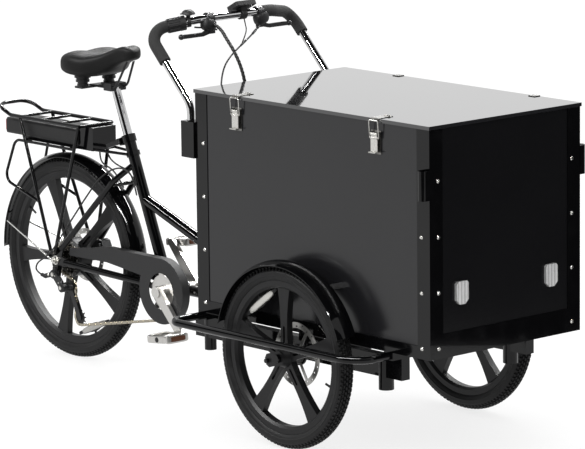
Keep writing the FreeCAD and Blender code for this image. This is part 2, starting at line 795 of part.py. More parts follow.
def brake_caliper(x, z, radius, y, angle):
    """Caliper body that straddles a disc's edge; y is the disc's middle plane."""
    inner = radius - CALIPER_LENGTH / 2
    outer = radius + CALIPER_LENGTH / 2
    half = CALIPER_HEIGHT / 2
    deep = CALIPER_DEPTH / 2
    corner = CALIPER_HEIGHT * CALIPER_CORNER_SHARE
    outline = [(x + inner, z - half), (x + outer - corner, z - half), (x + outer, z - half + corner),
               (x + outer, z + half - corner), (x + outer - corner, z + half), (x + inner, z + half)]
    body = plate_y(outline, y - deep, y + deep)
    mouth = DISC_THICK / 2 + CALIPER_MOUTH / 2
    slot = block((x + inner - OVERRUN, x + radius + AIR), (y - mouth, y + mouth),
                 (z - half - OVERRUN, z + half + OVERRUN))
    bolt_x = x + outer - corner
    bolt = rod(Vector(bolt_x, y - deep, z), Vector(bolt_x, y - deep - CALIPER_BOLT_LENGTH, z),
               CALIPER_BOLT_RADIUS)
    return spun(fused([body.cut(slot), bolt]), x, z, angle)


def front_caliper():
    """Right front caliper with the arm that holds it on the stub axle's collar."""
    disc_y = -WHEEL_Y + HUB_INNER_REACH + DISC_THICK / 2
    body = brake_caliper(FRONT_X, FRONT_TYRE_RADIUS, DISC_RADIUS, disc_y, CALIPER_ANGLE)
    half = CALIPER_HEIGHT / 3
    near = disc_y + DISC_THICK / 2 + AIR + AIR
    arm = block((FRONT_X, FRONT_X + DISC_RADIUS), (near, near + CALIPER_ARM_THICK),
                (FRONT_TYRE_RADIUS - half, FRONT_TYRE_RADIUS + half))
    boss = turned([(0, near), (AXLE_COLLAR_RADIUS * 2, near),
                   (AXLE_COLLAR_RADIUS * 2, near + CALIPER_ARM_THICK), (0, near + CALIPER_ARM_THICK)],
                  FRONT_X, FRONT_TYRE_RADIUS)
    whole = fused([body, spun(arm, FRONT_X, FRONT_TYRE_RADIUS, CALIPER_ANGLE), boss])
    bore = rod(Vector(FRONT_X, -WHEEL_Y, FRONT_TYRE_RADIUS), Vector(FRONT_X, 0, FRONT_TYRE_RADIUS),
               AXLE_COLLAR_RADIUS + RUNNING_FIT)
    return whole.cut(bore)


def rear_wheel():
    neck = REAR_NECK_RADIUS
    bore = REAR_AXLE_RADIUS + RUNNING_FIT
    end = DROPOUT_INNER - SIDE_PLAY
    round_off = MOTOR_HALF * MOTOR_ROUND_SHARE
    hub = [(bore, -MOTOR_HALF), (MOTOR_RADIUS - round_off, -MOTOR_HALF),
           (MOTOR_RADIUS, -MOTOR_HALF + round_off), (MOTOR_RADIUS, MOTOR_HALF - round_off),
           (MOTOR_RADIUS - round_off, MOTOR_HALF), (DISC_HUB_RADIUS, MOTOR_HALF),
           (DISC_HUB_RADIUS, REAR_DISC_Y), (neck, REAR_DISC_Y), (neck, end), (bore, end)]
    return cast_wheel(REAR_X, REAR_TYRE_RADIUS, hub, MOTOR_RADIUS, REAR_SPOKE_ANGLE)


def rear_wheel_fittings():
    rim = REAR_TYRE_RADIUS - TYRE_DEPTH - RIM_DEPTH
    gap = 180 / SPOKE_COUNT
    bore = REAR_NECK_RADIUS + SLIDE_FIT
    parts = [disc(REAR_X, REAR_TYRE_RADIUS, REAR_DISC_RADIUS, bore, REAR_DISC_Y),
             wheel_reflector(REAR_X, REAR_TYRE_RADIUS, rim, REAR_SPOKE_ANGLE - 3 * gap),
             valve(REAR_X, REAR_TYRE_RADIUS, rim, REAR_SPOKE_ANGLE + 3 * gap)]
    return group(parts)


def box_sides():
    """Right and left panels of the cargo box."""
    right = block((BOX_REAR_X + POST_WALL, BOX_FRONT_X - POST_WALL),
                  (-PANEL_HALF, PANEL_THICK - PANEL_HALF),
                  (BOX_BOTTOM_Z, BOX_TOP_Z))
    return both_sides(right)


def box_end_panels():
    inside = PANEL_HALF - PANEL_THICK
    panels = []
    for x in (BOX_REAR_X + POST_WALL, BOX_FRONT_X - POST_WALL - PANEL_THICK):
        panels.append(block((x, x + PANEL_THICK), (-inside, inside), (BOX_BOTTOM_Z, BOX_TOP_Z)))
    return group(panels)


def box_floor():
    inside = PANEL_HALF - PANEL_THICK
    wall = POST_WALL + PANEL_THICK
    return block((BOX_REAR_X + wall, BOX_FRONT_X - wall), (-inside, inside),
                 (BOX_BOTTOM_Z, BOX_BOTTOM_Z + FLOOR_THICK))


def corner_posts():
    """Angle posts outside the four corners."""
    posts = []
    for x, way in ((BOX_REAR_X, 1), (BOX_FRONT_X, -1)):
        leg = x + way * POST_LEG
        wall = x + way * POST_WALL
        outline = [(x, -BOX_HALF), (leg, -BOX_HALF), (leg, -PANEL_HALF), (wall, -PANEL_HALF),
                   (wall, POST_LEG - BOX_HALF), (x, POST_LEG - BOX_HALF)]
        posts.append(plate_z(outline, BOX_BOTTOM_Z, BOX_TOP_Z))
    return group([both_sides(post) for post in posts])


def bottom_rails():
    """Plates along the foot of each wall, between the posts."""
    xs = (BOX_REAR_X + POST_LEG, BOX_FRONT_X - POST_LEG)
    reach = BOX_HALF - POST_LEG
    low_top = BOX_BOTTOM_Z + SIDE_RAIL_HEIGHT
    side = block(xs, (-BOX_HALF, -PANEL_HALF), (BOX_BOTTOM_Z, low_top))
    front = block((BOX_FRONT_X - POST_WALL, BOX_FRONT_X), (-reach, reach),
                  (BOX_BOTTOM_Z, BOX_BOTTOM_Z + FRONT_RAIL_HEIGHT))
    rear = block((BOX_REAR_X, BOX_REAR_X + POST_WALL), (-reach, reach), (BOX_BOTTOM_Z, low_top))
    return group([side, mirrored(side), front, rear])


def screw_head(point, way):
    """Pan head whose underside is at a point, facing along a direction."""
    top = SCREW_HEAD_RADIUS * SCREW_TOP_SHARE
    return Part.makeCone(SCREW_HEAD_RADIUS, top, SCREW_HEAD_HEIGHT, point, way)


def box_screws():
    """Heads along both faces of each post; the rear ones stop below the bar sleeves."""
    heads = []
    for row in range(POST_SCREWS):
        z = BOX_BOTTOM_Z + POST_SCREW_MARGIN + row * POST_SCREW_PITCH
        for x in (BOX_REAR_X + POST_SCREW_INSET, BOX_FRONT_X - POST_SCREW_INSET):
            heads.append(screw_head(Vector(x, -BOX_HALF, z), Vector(0, -1, 0)))
        y = POST_SCREW_INSET - BOX_HALF
        heads.append(screw_head(Vector(BOX_FRONT_X, y, z), Vector(1, 0, 0)))
        if z < SLEEVE_BOTTOM_Z - POST_SCREW_INSET:
            heads.append(screw_head(Vector(BOX_REAR_X, y, z), Vector(-1, 0, 0)))
    return group([both_sides(head) for head in heads])


def front_reflectors():
    """Shield-shaped reflectors on the front panel's lower half."""
    half = BADGE_WIDTH / 2
    low = BADGE_Z - BADGE_HEIGHT / 2
    high = BADGE_Z + BADGE_HEIGHT / 2
    cut = BADGE_CHAMFER
    outline = [(-BADGE_Y - half + cut, low), (-BADGE_Y + half - cut, low), (-BADGE_Y + half, low + cut),
               (-BADGE_Y + half, high - cut / 2), (-BADGE_Y + half - cut / 2, high),
               (-BADGE_Y - half + cut / 2, high), (-BADGE_Y - half, high - cut / 2),
               (-BADGE_Y - half, low + cut)]
    return both_sides(plate_x(outline, BOX_FRONT_X - POST_WALL, BOX_FRONT_X + BADGE_DEPTH))


def lid_panel():
    return block((BOX_REAR_X - LID_OVERHANG, BOX_FRONT_X + LID_OVERHANG), (-LID_HALF, LID_HALF),
                 (LID_BOTTOM_Z, LID_TOP_Z))


def hinge_barrel(x, first, last):
    """A stretch of a lid hinge's barrel, as shares of its length, bored for the pin."""
    start = x + HINGE_LENGTH * first
    stop = x + HINGE_LENGTH * last
    whole = rod(Vector(start, HINGE_Y, HINGE_Z), Vector(stop, HINGE_Y, HINGE_Z), HINGE_BARREL_RADIUS)
    bore = rod(Vector(start, HINGE_Y, HINGE_Z), Vector(stop, HINGE_Y, HINGE_Z),
               HINGE_PIN_RADIUS + RUNNING_FIT)
    return whole.cut(bore)


def fixed_hinge(x):
    """Leaf on the box side, its two outer barrels and the pin."""
    start = x - HINGE_LENGTH / 2
    play = SIDE_PLAY / HINGE_LENGTH
    barrels = []
    for first, last in ((0, HINGE_OUTER_SHARE - play), (1 - HINGE_OUTER_SHARE + play, 1)):
        xs = (start + HINGE_LENGTH * first, start + HINGE_LENGTH * last)
        web = block(xs, (PANEL_HALF, HINGE_Y),
                    (HINGE_Z - HINGE_BARREL_RADIUS, HINGE_Z - HINGE_PIN_RADIUS - AIR))
        round_bar = rod(Vector(xs[0], HINGE_Y, HINGE_Z), Vector(xs[1], HINGE_Y, HINGE_Z),
                        HINGE_BARREL_RADIUS)
        barrels.extend([web, round_bar])
    pin = rod(Vector(start, HINGE_Y, HINGE_Z), Vector(start + HINGE_LENGTH, HINGE_Y, HINGE_Z),
              HINGE_PIN_RADIUS)
    leaf = block((start, start + HINGE_LENGTH), (PANEL_HALF, PANEL_HALF + HINGE_LEAF_THICK),
                 (HINGE_Z - HINGE_LEAF_HEIGHT, HINGE_Z - HINGE_PIN_RADIUS - AIR))
    return fused([leaf, pin] + barrels)


def lid_hinge(x):
    """Middle barrel with the leaf that wraps the lid's edge."""
    start = x - HINGE_LENGTH / 2
    play = SIDE_PLAY / HINGE_LENGTH
    barrel = hinge_barrel(start, HINGE_OUTER_SHARE + play, 1 - HINGE_OUTER_SHARE - play)
    xs = (start + HINGE_LENGTH * (HINGE_OUTER_SHARE + play),
          start + HINGE_LENGTH * (1 - HINGE_OUTER_SHARE - play))
    top = LID_TOP_Z + HINGE_LEAF_THICK
    edge = block(xs, (LID_HALF, LID_HALF + HINGE_LEAF_THICK), (HINGE_Z + HINGE_PIN_RADIUS + AIR, top))
    bridge = block(xs, (LID_HALF, HINGE_Y),
                   (HINGE_Z + HINGE_PIN_RADIUS + AIR, HINGE_Z + HINGE_BARREL_RADIUS))
    flange = block(xs, (LID_HALF - HINGE_FLANGE, LID_HALF), (LID_TOP_Z, top))
    return fused([barrel, edge, bridge, flange])


def latch_base(x):
    """Fixed plate with two ears and the lever's pin."""
    half = LATCH_BASE_WIDTH / 2
    back = -PANEL_HALF
    front = back - LATCH_BASE_THICK
    top = LATCH_PIVOT_Z + LATCH_BOSS_RADIUS + LATCH_EAR_REACH
    plate = block((x - half, x + half), (front, back), (top - LATCH_BASE_HEIGHT, top))
    inner = LATCH_LEVER_WIDTH / 2 + SIDE_PLAY
    outer = inner + LATCH_EAR_THICK
    reach = LATCH_PIVOT_Y - LATCH_BOSS_RADIUS
    zs = (LATCH_PIVOT_Z - LATCH_EAR_REACH, LATCH_PIVOT_Z + LATCH_EAR_REACH)
    ears = [block((x + side * inner, x + side * outer), (reach, front), zs) for side in (-1, 1)]
    pin = rod(Vector(x - outer, LATCH_PIVOT_Y, LATCH_PIVOT_Z),
              Vector(x + outer, LATCH_PIVOT_Y, LATCH_PIVOT_Z),
              LATCH_PIN_RADIUS)
    return fused([plate, pin] + ears)


def latch_lever(x):
    """Lever that hangs from its pin, with its lip turned out for a finger."""
    half = LATCH_LEVER_WIDTH / 2
    low = LATCH_PIVOT_Z - LATCH_LEVER_LENGTH
    back = LATCH_PIVOT_Y + LATCH_LEVER_THICK / 2
    front = back - LATCH_LEVER_THICK
    outline = [(back, LATCH_PIVOT_Z), (front, LATCH_PIVOT_Z), (front, low + LATCH_LEVER_THICK),
               (front - LATCH_LIP_TURN, low + LATCH_LEVER_THICK), (front - LATCH_LIP_TURN, low),
               (back, low)]
    blade = plate_x(outline, x - half, x + half)
    boss = rod(Vector(x - half, LATCH_PIVOT_Y, LATCH_PIVOT_Z),
               Vector(x + half, LATCH_PIVOT_Y, LATCH_PIVOT_Z),
               LATCH_BOSS_RADIUS)
    link_z = LATCH_PIVOT_Z - LATCH_LINK
    link = rod(Vector(x - half, LATCH_PIVOT_Y, link_z), Vector(x + half, LATCH_PIVOT_Y, link_z),
               LATCH_BOSS_RADIUS - BAIL_WIRE_RADIUS / 2)
    bores = [rod(Vector(x - half - OVERRUN, LATCH_PIVOT_Y, z), Vector(x + half + OVERRUN, LATCH_PIVOT_Y, z),
                 radius)
             for z, radius in ((LATCH_PIVOT_Z, LATCH_PIN_RADIUS + RUNNING_FIT),
                               (link_z, BAIL_WIRE_RADIUS + RUNNING_FIT))]
    return fused([blade, boss, link]).cut(bores)


def latch_bail(x):
    """Wire loop from the lever up to the keeper, lying just in front of its lip."""
    side = LATCH_LEVER_WIDTH / 2 + SIDE_PLAY + LATCH_EAR_THICK + SIDE_PLAY + BAIL_WIRE_RADIUS
    seat = LATCH_LEVER_WIDTH / 2 - LATCH_EAR_THICK * 2
    low = LATCH_PIVOT_Z - LATCH_LINK
    top_y = LATCH_PIVOT_Y - BAIL_LEAN
    top_z = LID_TOP_Z - LID_THICK / 2
    points = [Vector(x - seat, LATCH_PIVOT_Y, low), Vector(x - side, LATCH_PIVOT_Y, low),
              Vector(x - side, top_y, top_z), Vector(x + side, top_y, top_z),
              Vector(x + side, LATCH_PIVOT_Y, low), Vector(x + seat, LATCH_PIVOT_Y, low)]
    tight = BAIL_WIRE_RADIUS * 2
    return bent_tube(points, [tight, BAIL_BEND, BAIL_BEND, tight], BAIL_WIRE_RADIUS)


def latch_keeper(x):
    """Plate on the lid that turns down over its edge into a lip, with two screws."""
    half = KEEPER_WIDTH / 2
    edge = -LID_HALF
    top = LID_TOP_Z + KEEPER_THICK
    low = LID_BOTTOM_Z + LID_THICK * KEEPER_LIP_SHARE
    outline = [(edge + KEEPER_REACH, LID_TOP_Z), (edge + KEEPER_REACH, top), (edge - KEEPER_THICK, top),
               (edge - KEEPER_THICK, low + KEEPER_THICK),
               (edge - KEEPER_THICK - KEEPER_LIP, low + KEEPER_THICK),
               (edge - KEEPER_THICK - KEEPER_LIP, low), (edge, low), (edge, LID_TOP_Z)]
    plate = plate_x(outline, x - half, x + half)
    y = edge + KEEPER_REACH - SCREW_HEAD_RADIUS - AIR
    heads = [screw_head(Vector(x + side * half * KEEPER_SCREW_SHARE, y, top), Vector(0, 0, 1))
             for side in (-1, 1)]
    return fused([plate] + heads)


def lid_fittings():
    return group([lid_hinge(x) for x in HINGE_XS] + [latch_keeper(x) for x in LATCH_XS.values()])


def box_fittings():
    return group([fixed_hinge(x) for x in HINGE_XS] + [latch_base(x) for x in LATCH_XS.values()])


def stub_leg(x, radius):
    """Short open tube welded down through a rail."""
    outer = rod(Vector(x, -RAIL_Y, STUB_BOTTOM_Z), Vector(x, -RAIL_Y, RAIL_BOTTOM_Z + RAIL_HEIGHT), radius)
    bore = rod(Vector(x, -RAIL_Y, STUB_BOTTOM_Z), Vector(x, -RAIL_Y, RAIL_BOTTOM_Z), radius - STUB_WALL)
    return outer.cut(bore)


def stub_axle():
    """Right stub axle: collar, journal and nut."""
    z = FRONT_TYRE_RADIUS
    collar_end = HUB_INNER_REACH + DISC_THICK + AIR - WHEEL_Y
    nut = -WHEEL_Y - HUB_OUTER_REACH - SIDE_PLAY
    parts = [rod(Vector(FRONT_X, -RAIL_Y, z), Vector(FRONT_X, collar_end, z), AXLE_COLLAR_RADIUS),
             rod(Vector(FRONT_X, -RAIL_Y, z), Vector(FRONT_X, nut - AXLE_NUT_LENGTH, z), AXLE_RADIUS),
             rod(Vector(FRONT_X, nut, z), Vector(FRONT_X, nut - AXLE_NUT_LENGTH, z), AXLE_NUT_RADIUS)]
    return parts


def steering_fork():
    """Plates above and below the head tube, the pin through it and the plate behind the box."""
    low = HEAD_BOTTOM_Z - SIDE_PLAY
    high = HEAD_TOP_Z + SIDE_PLAY
    half = FORK_PLATE_HALF
    outline = [(BOX_REAR_X, -half), (BOX_REAR_X, half), (HEAD_X, HEAD_RADIUS),
               ((HEAD_X - HEAD_RADIUS, 0), (HEAD_X, -HEAD_RADIUS))]
    plates = [plate_z(outline, low - FORK_PLATE_THICK, low),
              plate_z(outline, high, high + FORK_PLATE_THICK)]
    back = block((BOX_REAR_X - HEAD_BACK_THICK, BOX_REAR_X), (-half, half),
                 (low - FORK_PLATE_THICK, high + FORK_PLATE_THICK))
    pin = rod(Vector(HEAD_X, 0, low - FORK_PLATE_THICK), Vector(HEAD_X, 0, high + FORK_PLATE_THICK),
              KINGPIN_RADIUS)
    tie = block((BOX_REAR_X, BOX_REAR_X + CROSS_DEPTH), (-half, half),
                (low - FORK_PLATE_THICK, BOX_BOTTOM_Z))
    return plates + [back, pin, tie]


def chassis_frame():
    """Rails and cross members under the box, front axle and steering fork."""
    rail_top = RAIL_BOTTOM_Z + RAIL_HEIGHT
    half = RAIL_WIDTH / 2
    rail = block((BOX_REAR_X - RAIL_TAIL, BOX_FRONT_X - FRONT_CROSS_SETBACK + CROSS_DEPTH / 2),
                 (-RAIL_Y - half, half - RAIL_Y),
                 (RAIL_BOTTOM_Z, rail_top))
    right = [rail, stub_leg(BOX_REAR_X - REAR_STUB_SETBACK, REAR_STUB_RADIUS),
             stub_leg(BOX_FRONT_X - FRONT_STUB_SETBACK, FRONT_STUB_RADIUS)] + stub_axle()
    crosses = []
    for x in (BOX_REAR_X + CROSS_DEPTH / 2, FRONT_X, BOX_FRONT_X - FRONT_CROSS_SETBACK):
        crosses.append(block((x - CROSS_DEPTH / 2, x + CROSS_DEPTH / 2), (-BOX_HALF, BOX_HALF),
                             (rail_top, BOX_BOTTOM_Z)))
    beam = AXLE_BEAM_SIZE / 2
    axle_beam = block((FRONT_X - beam, FRONT_X + beam), (-RAIL_Y, RAIL_Y),
                      (FRONT_TYRE_RADIUS - beam, FRONT_TYRE_RADIUS + beam))
    return fused(right + [mirrored(piece) for piece in right] + crosses + [axle_beam] + steering_fork())


def wheel_guard():
    """Right guard tube, welded to the ends of the rear and front cross members."""
    z = (RAIL_BOTTOM_Z + RAIL_HEIGHT + BOX_BOTTOM_Z) / 2
    radius = (BOX_BOTTOM_Z - RAIL_BOTTOM_Z - RAIL_HEIGHT) / 2
    rear = BOX_REAR_X + CROSS_DEPTH / 2
    front = BOX_FRONT_X - FRONT_CROSS_SETBACK
    points = [Vector(rear, -BOX_HALF, z), Vector(rear, -GUARD_Y, z),
              Vector(front - GUARD_NOSE_SKEW, -GUARD_Y, z),
              Vector(front, GUARD_NOSE_SKEW - GUARD_Y, z), Vector(front, -BOX_HALF, z)]
    return bent_tube(points, [GUARD_REAR_BEND, GUARD_FRONT_BEND, GUARD_FRONT_BEND], radius)


def fender(x, radius, half, start, end):
    """Crowned mudguard over a tyre, from one angle to another."""
    inner = radius + FENDER_GAP
    outer = inner + FENDER_WALL
    profile = [(outer - FENDER_CROWN, -half), ((outer, 0), (outer - FENDER_CROWN, half)),
               (inner - FENDER_CROWN, half), ((inner, 0), (inner - FENDER_CROWN, -half))]
    return turned(profile, x, radius, start, end - start)


def front_fender():
    """Right front fender with the straps that hold it on the box side."""
    shell = to_right_wheel(fender(FRONT_X, FRONT_TYRE_RADIUS, FRONT_FENDER_HALF, FRONT_FENDER_START,
                                  FRONT_FENDER_END))
    edge = FRONT_TYRE_RADIUS + FENDER_GAP - FENDER_CROWN
    wide = FENDER_STRAP_WIDTH / 2
    lift = FENDER_WALL / 4
    strap = block((FRONT_X + edge + lift, FRONT_X + edge + FENDER_WALL + lift),
                  (FRONT_FENDER_HALF - FENDER_STRAP_THICK - WHEEL_Y, -PANEL_HALF),
                  (FRONT_TYRE_RADIUS - wide, FRONT_TYRE_RADIUS + wide))
    straps = [spun(strap, FRONT_X, FRONT_TYRE_RADIUS, angle) for angle in FENDER_STRAP_ANGLES]
    return fused([shell] + straps)


def rear_fender():
    """Rear fender with a wire stay from each edge to the axle ends."""
    shell = fender(REAR_X, REAR_TYRE_RADIUS, REAR_FENDER_HALF, REAR_FENDER_START, REAR_FENDER_END)
    edge = REAR_TYRE_RADIUS + FENDER_GAP + FENDER_WALL / 2 - FENDER_CROWN
    x, z = polar(REAR_X, REAR_TYRE_RADIUS, edge, FENDER_STAY_ANGLE)
    foot_y = -DROPOUT_INNER - DROPOUT_THICK - SIDE_PLAY - FENDER_STAY_RADIUS
    foot = Vector(REAR_X - REAR_WASHER_RADIUS - FENDER_STAY_RADIUS * 2, foot_y, REAR_TYRE_RADIUS)
    stay = rod(Vector(x, FENDER_STAY_RADIUS - REAR_FENDER_HALF, z), foot, FENDER_STAY_RADIUS)
    return fused([shell, stay, mirrored(stay)])


def corner_sockets():
    """Pole sockets on the front corners and the sleeves that hold the bar behind the box."""
    x = BOX_FRONT_X - POLE_SOCKET_INSET
    y = -BOX_HALF - POLE_SOCKET_RADIUS
    low = POLE_SOCKET_TOP_Z - POLE_SOCKET_HEIGHT
    tube = rod(Vector(x, y, low), Vector(x, y, POLE_SOCKET_TOP_Z), POLE_SOCKET_RADIUS)
    back = block((x - POLE_SOCKET_RADIUS, x + POLE_SOCKET_RADIUS), (y, -BOX_HALF), (low, POLE_SOCKET_TOP_Z))
    bore = rod(Vector(x, y, low), Vector(x, y, POLE_SOCKET_TOP_Z), POLE_BORE_RADIUS)
    pole = fused([tube, back]).cut(bore)
    bar_x = BOX_REAR_X - BAR_FOOT_SETBACK
    half = SLEEVE_SIZE / 2
    sleeve = block((bar_x - half, BOX_REAR_X), (-BAR_HALF_SPAN - half, half - BAR_HALF_SPAN),
                   (SLEEVE_BOTTOM_Z, SLEEVE_TOP_Z))
    hole = rod(Vector(bar_x, -BAR_HALF_SPAN, SLEEVE_BOTTOM_Z), Vector(bar_x, -BAR_HALF_SPAN, SLEEVE_TOP_Z),
               BAR_RADIUS + SLIDE_FIT)
    return group([both_sides(pole), both_sides(sleeve.cut(hole))])


def bar_side(side):
    """Foot, elbow, corner and top of the bar on one side: -1 right, 1 left."""
    foot_x = BOX_REAR_X - BAR_FOOT_SETBACK
    y = side * BAR_HALF_SPAN
    return [Vector(foot_x, y, SLEEVE_BOTTOM_Z), Vector(foot_x, y, BAR_ELBOW_Z),
            Vector(BOX_REAR_X - BAR_CORNER_SETBACK, y, BAR_CORNER_Z),
            Vector(BOX_REAR_X - BAR_TOP_SETBACK, side * BAR_TOP_HALF, BAR_TOP_Z)]


def handlebar():
    bends = [BAR_ELBOW_BEND, BAR_CORNER_BEND, BAR_TOP_BEND]
    return bent_tube(bar_side(-1) + bar_side(1)[::-1], bends + bends[::-1], BAR_RADIUS)


def along(start, end, distance):
    """The point at a distance from a start towards an end."""
    return start + (end - start).normalize() * distance


def slant_point(distance):
    """A point on the bar's right slanted stretch, measured from its corner."""
    _, _, corner, top = bar_side(-1)
    return along(corner, top, distance)


def grip(points, bends):
    core = bent_tube(points, bends, BAR_RADIUS + SLIDE_FIT)
    return bent_tube(points, bends, GRIP_RADIUS).cut(core)


def handlebar_grips():
    """Foam grips round the corners; the left one runs on to the lever's clamp."""
    _, elbow, corner, _ = bar_side(-1)
    right = grip([along(corner, elbow, GRIP_RIGHT_LEG), corner, slant_point(GRIP_RIGHT_END)],
                 [BAR_CORNER_BEND])
    _, elbow, corner, top = bar_side(1)
    start = Vector(top.x, LEFT_CLAMP_Y + CLAMP_LENGTH / 2 + AIR, top.z)
    left = grip([start, top, corner, along(corner, elbow, GRIP_LEFT_LEG)], [BAR_TOP_BEND, BAR_CORNER_BEND])
    return group([right, left])


def bar_bore(start, end, fit):
    """The space the bar takes up between two points, with a fit."""
    return rod(start, end, BAR_RADIUS + fit)


def twist_shifter():
    """Ribbed gear grip that turns on the slanted stretch beside the right grip."""
    start = slant_point(GRIP_RIGHT_END + SIDE_PLAY)
    end = slant_point(GRIP_RIGHT_END + SIDE_PLAY + SHIFTER_LENGTH)
    body = rod(start, end, SHIFTER_RADIUS)
    collar_start = along(start, end, SHIFTER_LENGTH * SHIFTER_COLLAR_SHARE)
    collar = rod(collar_start, end, SHIFTER_RADIUS + SHIFTER_RIB_RADIUS * SHIFTER_COLLAR_RISE)
    way = (end - start).normalize()
    inset = way * SHIFTER_RIB_RADIUS
    out = way.cross(Vector(0, 0, 1)).normalize() * SHIFTER_RADIUS
    ribs = []
    for i in range(SHIFTER_RIBS):
        turn = FreeCAD.Rotation(way, 360 / SHIFTER_RIBS * i)
        shift = turn.multVec(out)
        ribs.append(rod(start + shift + inset, collar_start + shift + inset, SHIFTER_RIB_RADIUS))
    return fused([body, collar] + ribs).cut(bar_bore(start, end, RUNNING_FIT))


def bell_place():
    return slant_point(GRIP_RIGHT_END + SHIFTER_LENGTH + BELL_OFFSET)


def turned_z(points, x, y):
    """An outline of (radius, z) points turned about the Z line through x, y."""
    wire = closed_wire(points, lambda p: Vector(x + p[0], y, p[1]))
    return Part.Face(wire).revolve(Vector(x, y, 0), Vector(0, 0, 1), 360)


def bell():
    """Clamp on the bar, stem and dome."""
    place = bell_place()
    way = (slant_point(BELL_OFFSET) - slant_point(0)).normalize()
    start = place - way * (BELL_CLAMP_LENGTH / 2)
    end = place + way * (BELL_CLAMP_LENGTH / 2)
    clamp = rod(start, end, BELL_CLAMP_RADIUS)
    base = place.z + BELL_RISE
    shoulder = (BELL_RADIUS * BELL_BULGE_SHARE, base + BELL_HEIGHT * BELL_BULGE_SHARE)
    outline = [(0, place.z), (BELL_STEM_RADIUS, place.z), (BELL_STEM_RADIUS, base), (BELL_RADIUS, base),
               (shoulder, (BELL_CAP_RADIUS, base + BELL_HEIGHT)), (0, base + BELL_HEIGHT)]
    dome = turned_z(outline, place.x, place.y)
    return fused([clamp, dome]).cut(bar_bore(start - way * OVERRUN, end + way * OVERRUN, SLIDE_FIT))


def bell_lever():
    """Thumb lever that turns on the bell's stem, under the dome."""
    place = bell_place()
    top = place.z + BELL_RISE - SIDE_PLAY
    low = top - BELL_LEVER_THICK
    ring = rod(Vector(place.x, place.y, low), Vector(place.x, place.y, top),
               BELL_STEM_RADIUS + BELL_LEVER_WIDTH / 2)
    half = BELL_LEVER_WIDTH / 2
    arm = block((place.x - BELL_LEVER_LENGTH, place.x), (place.y - half, place.y + half), (low, top))
    tip = rod(Vector(place.x - BELL_LEVER_LENGTH, place.y, low),
              Vector(place.x - BELL_LEVER_LENGTH, place.y, top),
              BELL_LEVER_WIDTH)
    bore = rod(Vector(place.x, place.y, low), Vector(place.x, place.y, top), BELL_STEM_RADIUS + RUNNING_FIT)
    return fused([ring, arm, tip]).cut(bore)


def lever_pivot(name):
    """Where a brake lever turns, below and ahead of the bar."""
    return Vector(BOX_REAR_X - BAR_TOP_SETBACK + LEVER_PIVOT_FORWARD, LEVER_YS[name],
                  BAR_TOP_Z - LEVER_PIVOT_DROP)


def lever_bracket(name):
    """Clamp on the bar with two cheeks and the lever's pin."""
    pivot = lever_pivot(name)
    half = CLAMP_LENGTH / 2
    bar_x = BOX_REAR_X - BAR_TOP_SETBACK
    start = Vector(bar_x, pivot.y - half, BAR_TOP_Z)
    end = Vector(bar_x, pivot.y + half, BAR_TOP_Z)
    inner = LEVER_THICK / 2 + SIDE_PLAY
    outer = inner + LEVER_CHEEK
    zs = (pivot.z - LEVER_BOSS_RADIUS - AIR, BAR_TOP_Z)
    cheeks = [block((pivot.x + side * inner, pivot.x + side * outer), (start.y, end.y), zs)
              for side in (-1, 1)]
    pin = rod(pivot - Vector(outer, 0, 0), pivot + Vector(outer, 0, 0), LEVER_PIN_RADIUS)
    return fused([rod(start, end, CLAMP_RADIUS), pin] + cheeks).cut(bar_bore(start, end, SLIDE_FIT))


def brake_lever(name, side):
    """Lever with a ball end that reaches outward: side is -1 right, 1 left."""
    pivot = lever_pivot(name)
    half = LEVER_THICK / 2
    wide = LEVER_WIDTH / 2
    knee = pivot.y + side * LEVER_LENGTH * LEVER_KNEE_SHARE
    end = pivot.y + side * LEVER_LENGTH
    low = pivot.z - LEVER_KNUCKLE_DROP
    outline = [(pivot.y, pivot.z + LEVER_BOSS_RADIUS), (knee, low + wide), (end, low + wide),
               (end, low - wide),
               (knee, low - wide), (pivot.y, pivot.z - LEVER_BOSS_RADIUS)]
    blade = plate_x(outline, pivot.x - half, pivot.x + half)
    boss = rod(pivot - Vector(half, 0, 0), pivot + Vector(half, 0, 0), LEVER_BOSS_RADIUS)
    ball = Part.makeSphere(LEVER_BALL_RADIUS, Vector(pivot.x, end, low))
    bore = rod(pivot - Vector(LEVER_THICK, 0, 0), pivot + Vector(LEVER_THICK, 0, 0),
               LEVER_PIN_RADIUS + RUNNING_FIT)
    return fused([blade, boss, ball]).cut(bore)


def display_unit():
    """Tilted display on a clamp near the middle of the bar."""
    bar_x = BOX_REAR_X - BAR_TOP_SETBACK
    start = Vector(bar_x, DISPLAY_Y - CLAMP_LENGTH / 2, BAR_TOP_Z)
    end = Vector(bar_x, DISPLAY_Y + CLAMP_LENGTH / 2, BAR_TOP_Z)
    deep = DISPLAY_DEPTH / 2
    wide = DISPLAY_WIDTH / 2
    middle = Vector(bar_x, DISPLAY_Y, BAR_TOP_Z + DISPLAY_RISE)
    body = block((bar_x - deep, bar_x + deep), (DISPLAY_Y - wide, DISPLAY_Y + wide),
                 (middle.z - DISPLAY_THICK / 2, middle.z + DISPLAY_THICK / 2))
    upright = [edge for edge in body.Edges if abs(edge.tangentAt(0).z) > math.cos(math.pi / 4)]
    body = body.makeFillet(DISPLAY_ROUND, upright)
    body.rotate(middle, Vector(0, 1, 0), -DISPLAY_TILT)
    neck = block((bar_x - BAR_RADIUS, bar_x + BAR_RADIUS), (start.y, end.y), (BAR_TOP_Z, middle.z))
    return fused([body, neck, rod(start, end, BELL_CLAMP_RADIUS)]).cut(bar_bore(start, end, SLIDE_FIT))


def control_route(setbacks, ys, shares, low, drop):
    """Points of a cable from under the bar down to its hole in the box's rear wall."""
    rise = BAR_TOP_Z - drop - low
    return [Vector(BOX_REAR_X - setback, y, low + rise * share)
            for setback, y, share in zip(setbacks, ys, shares)]


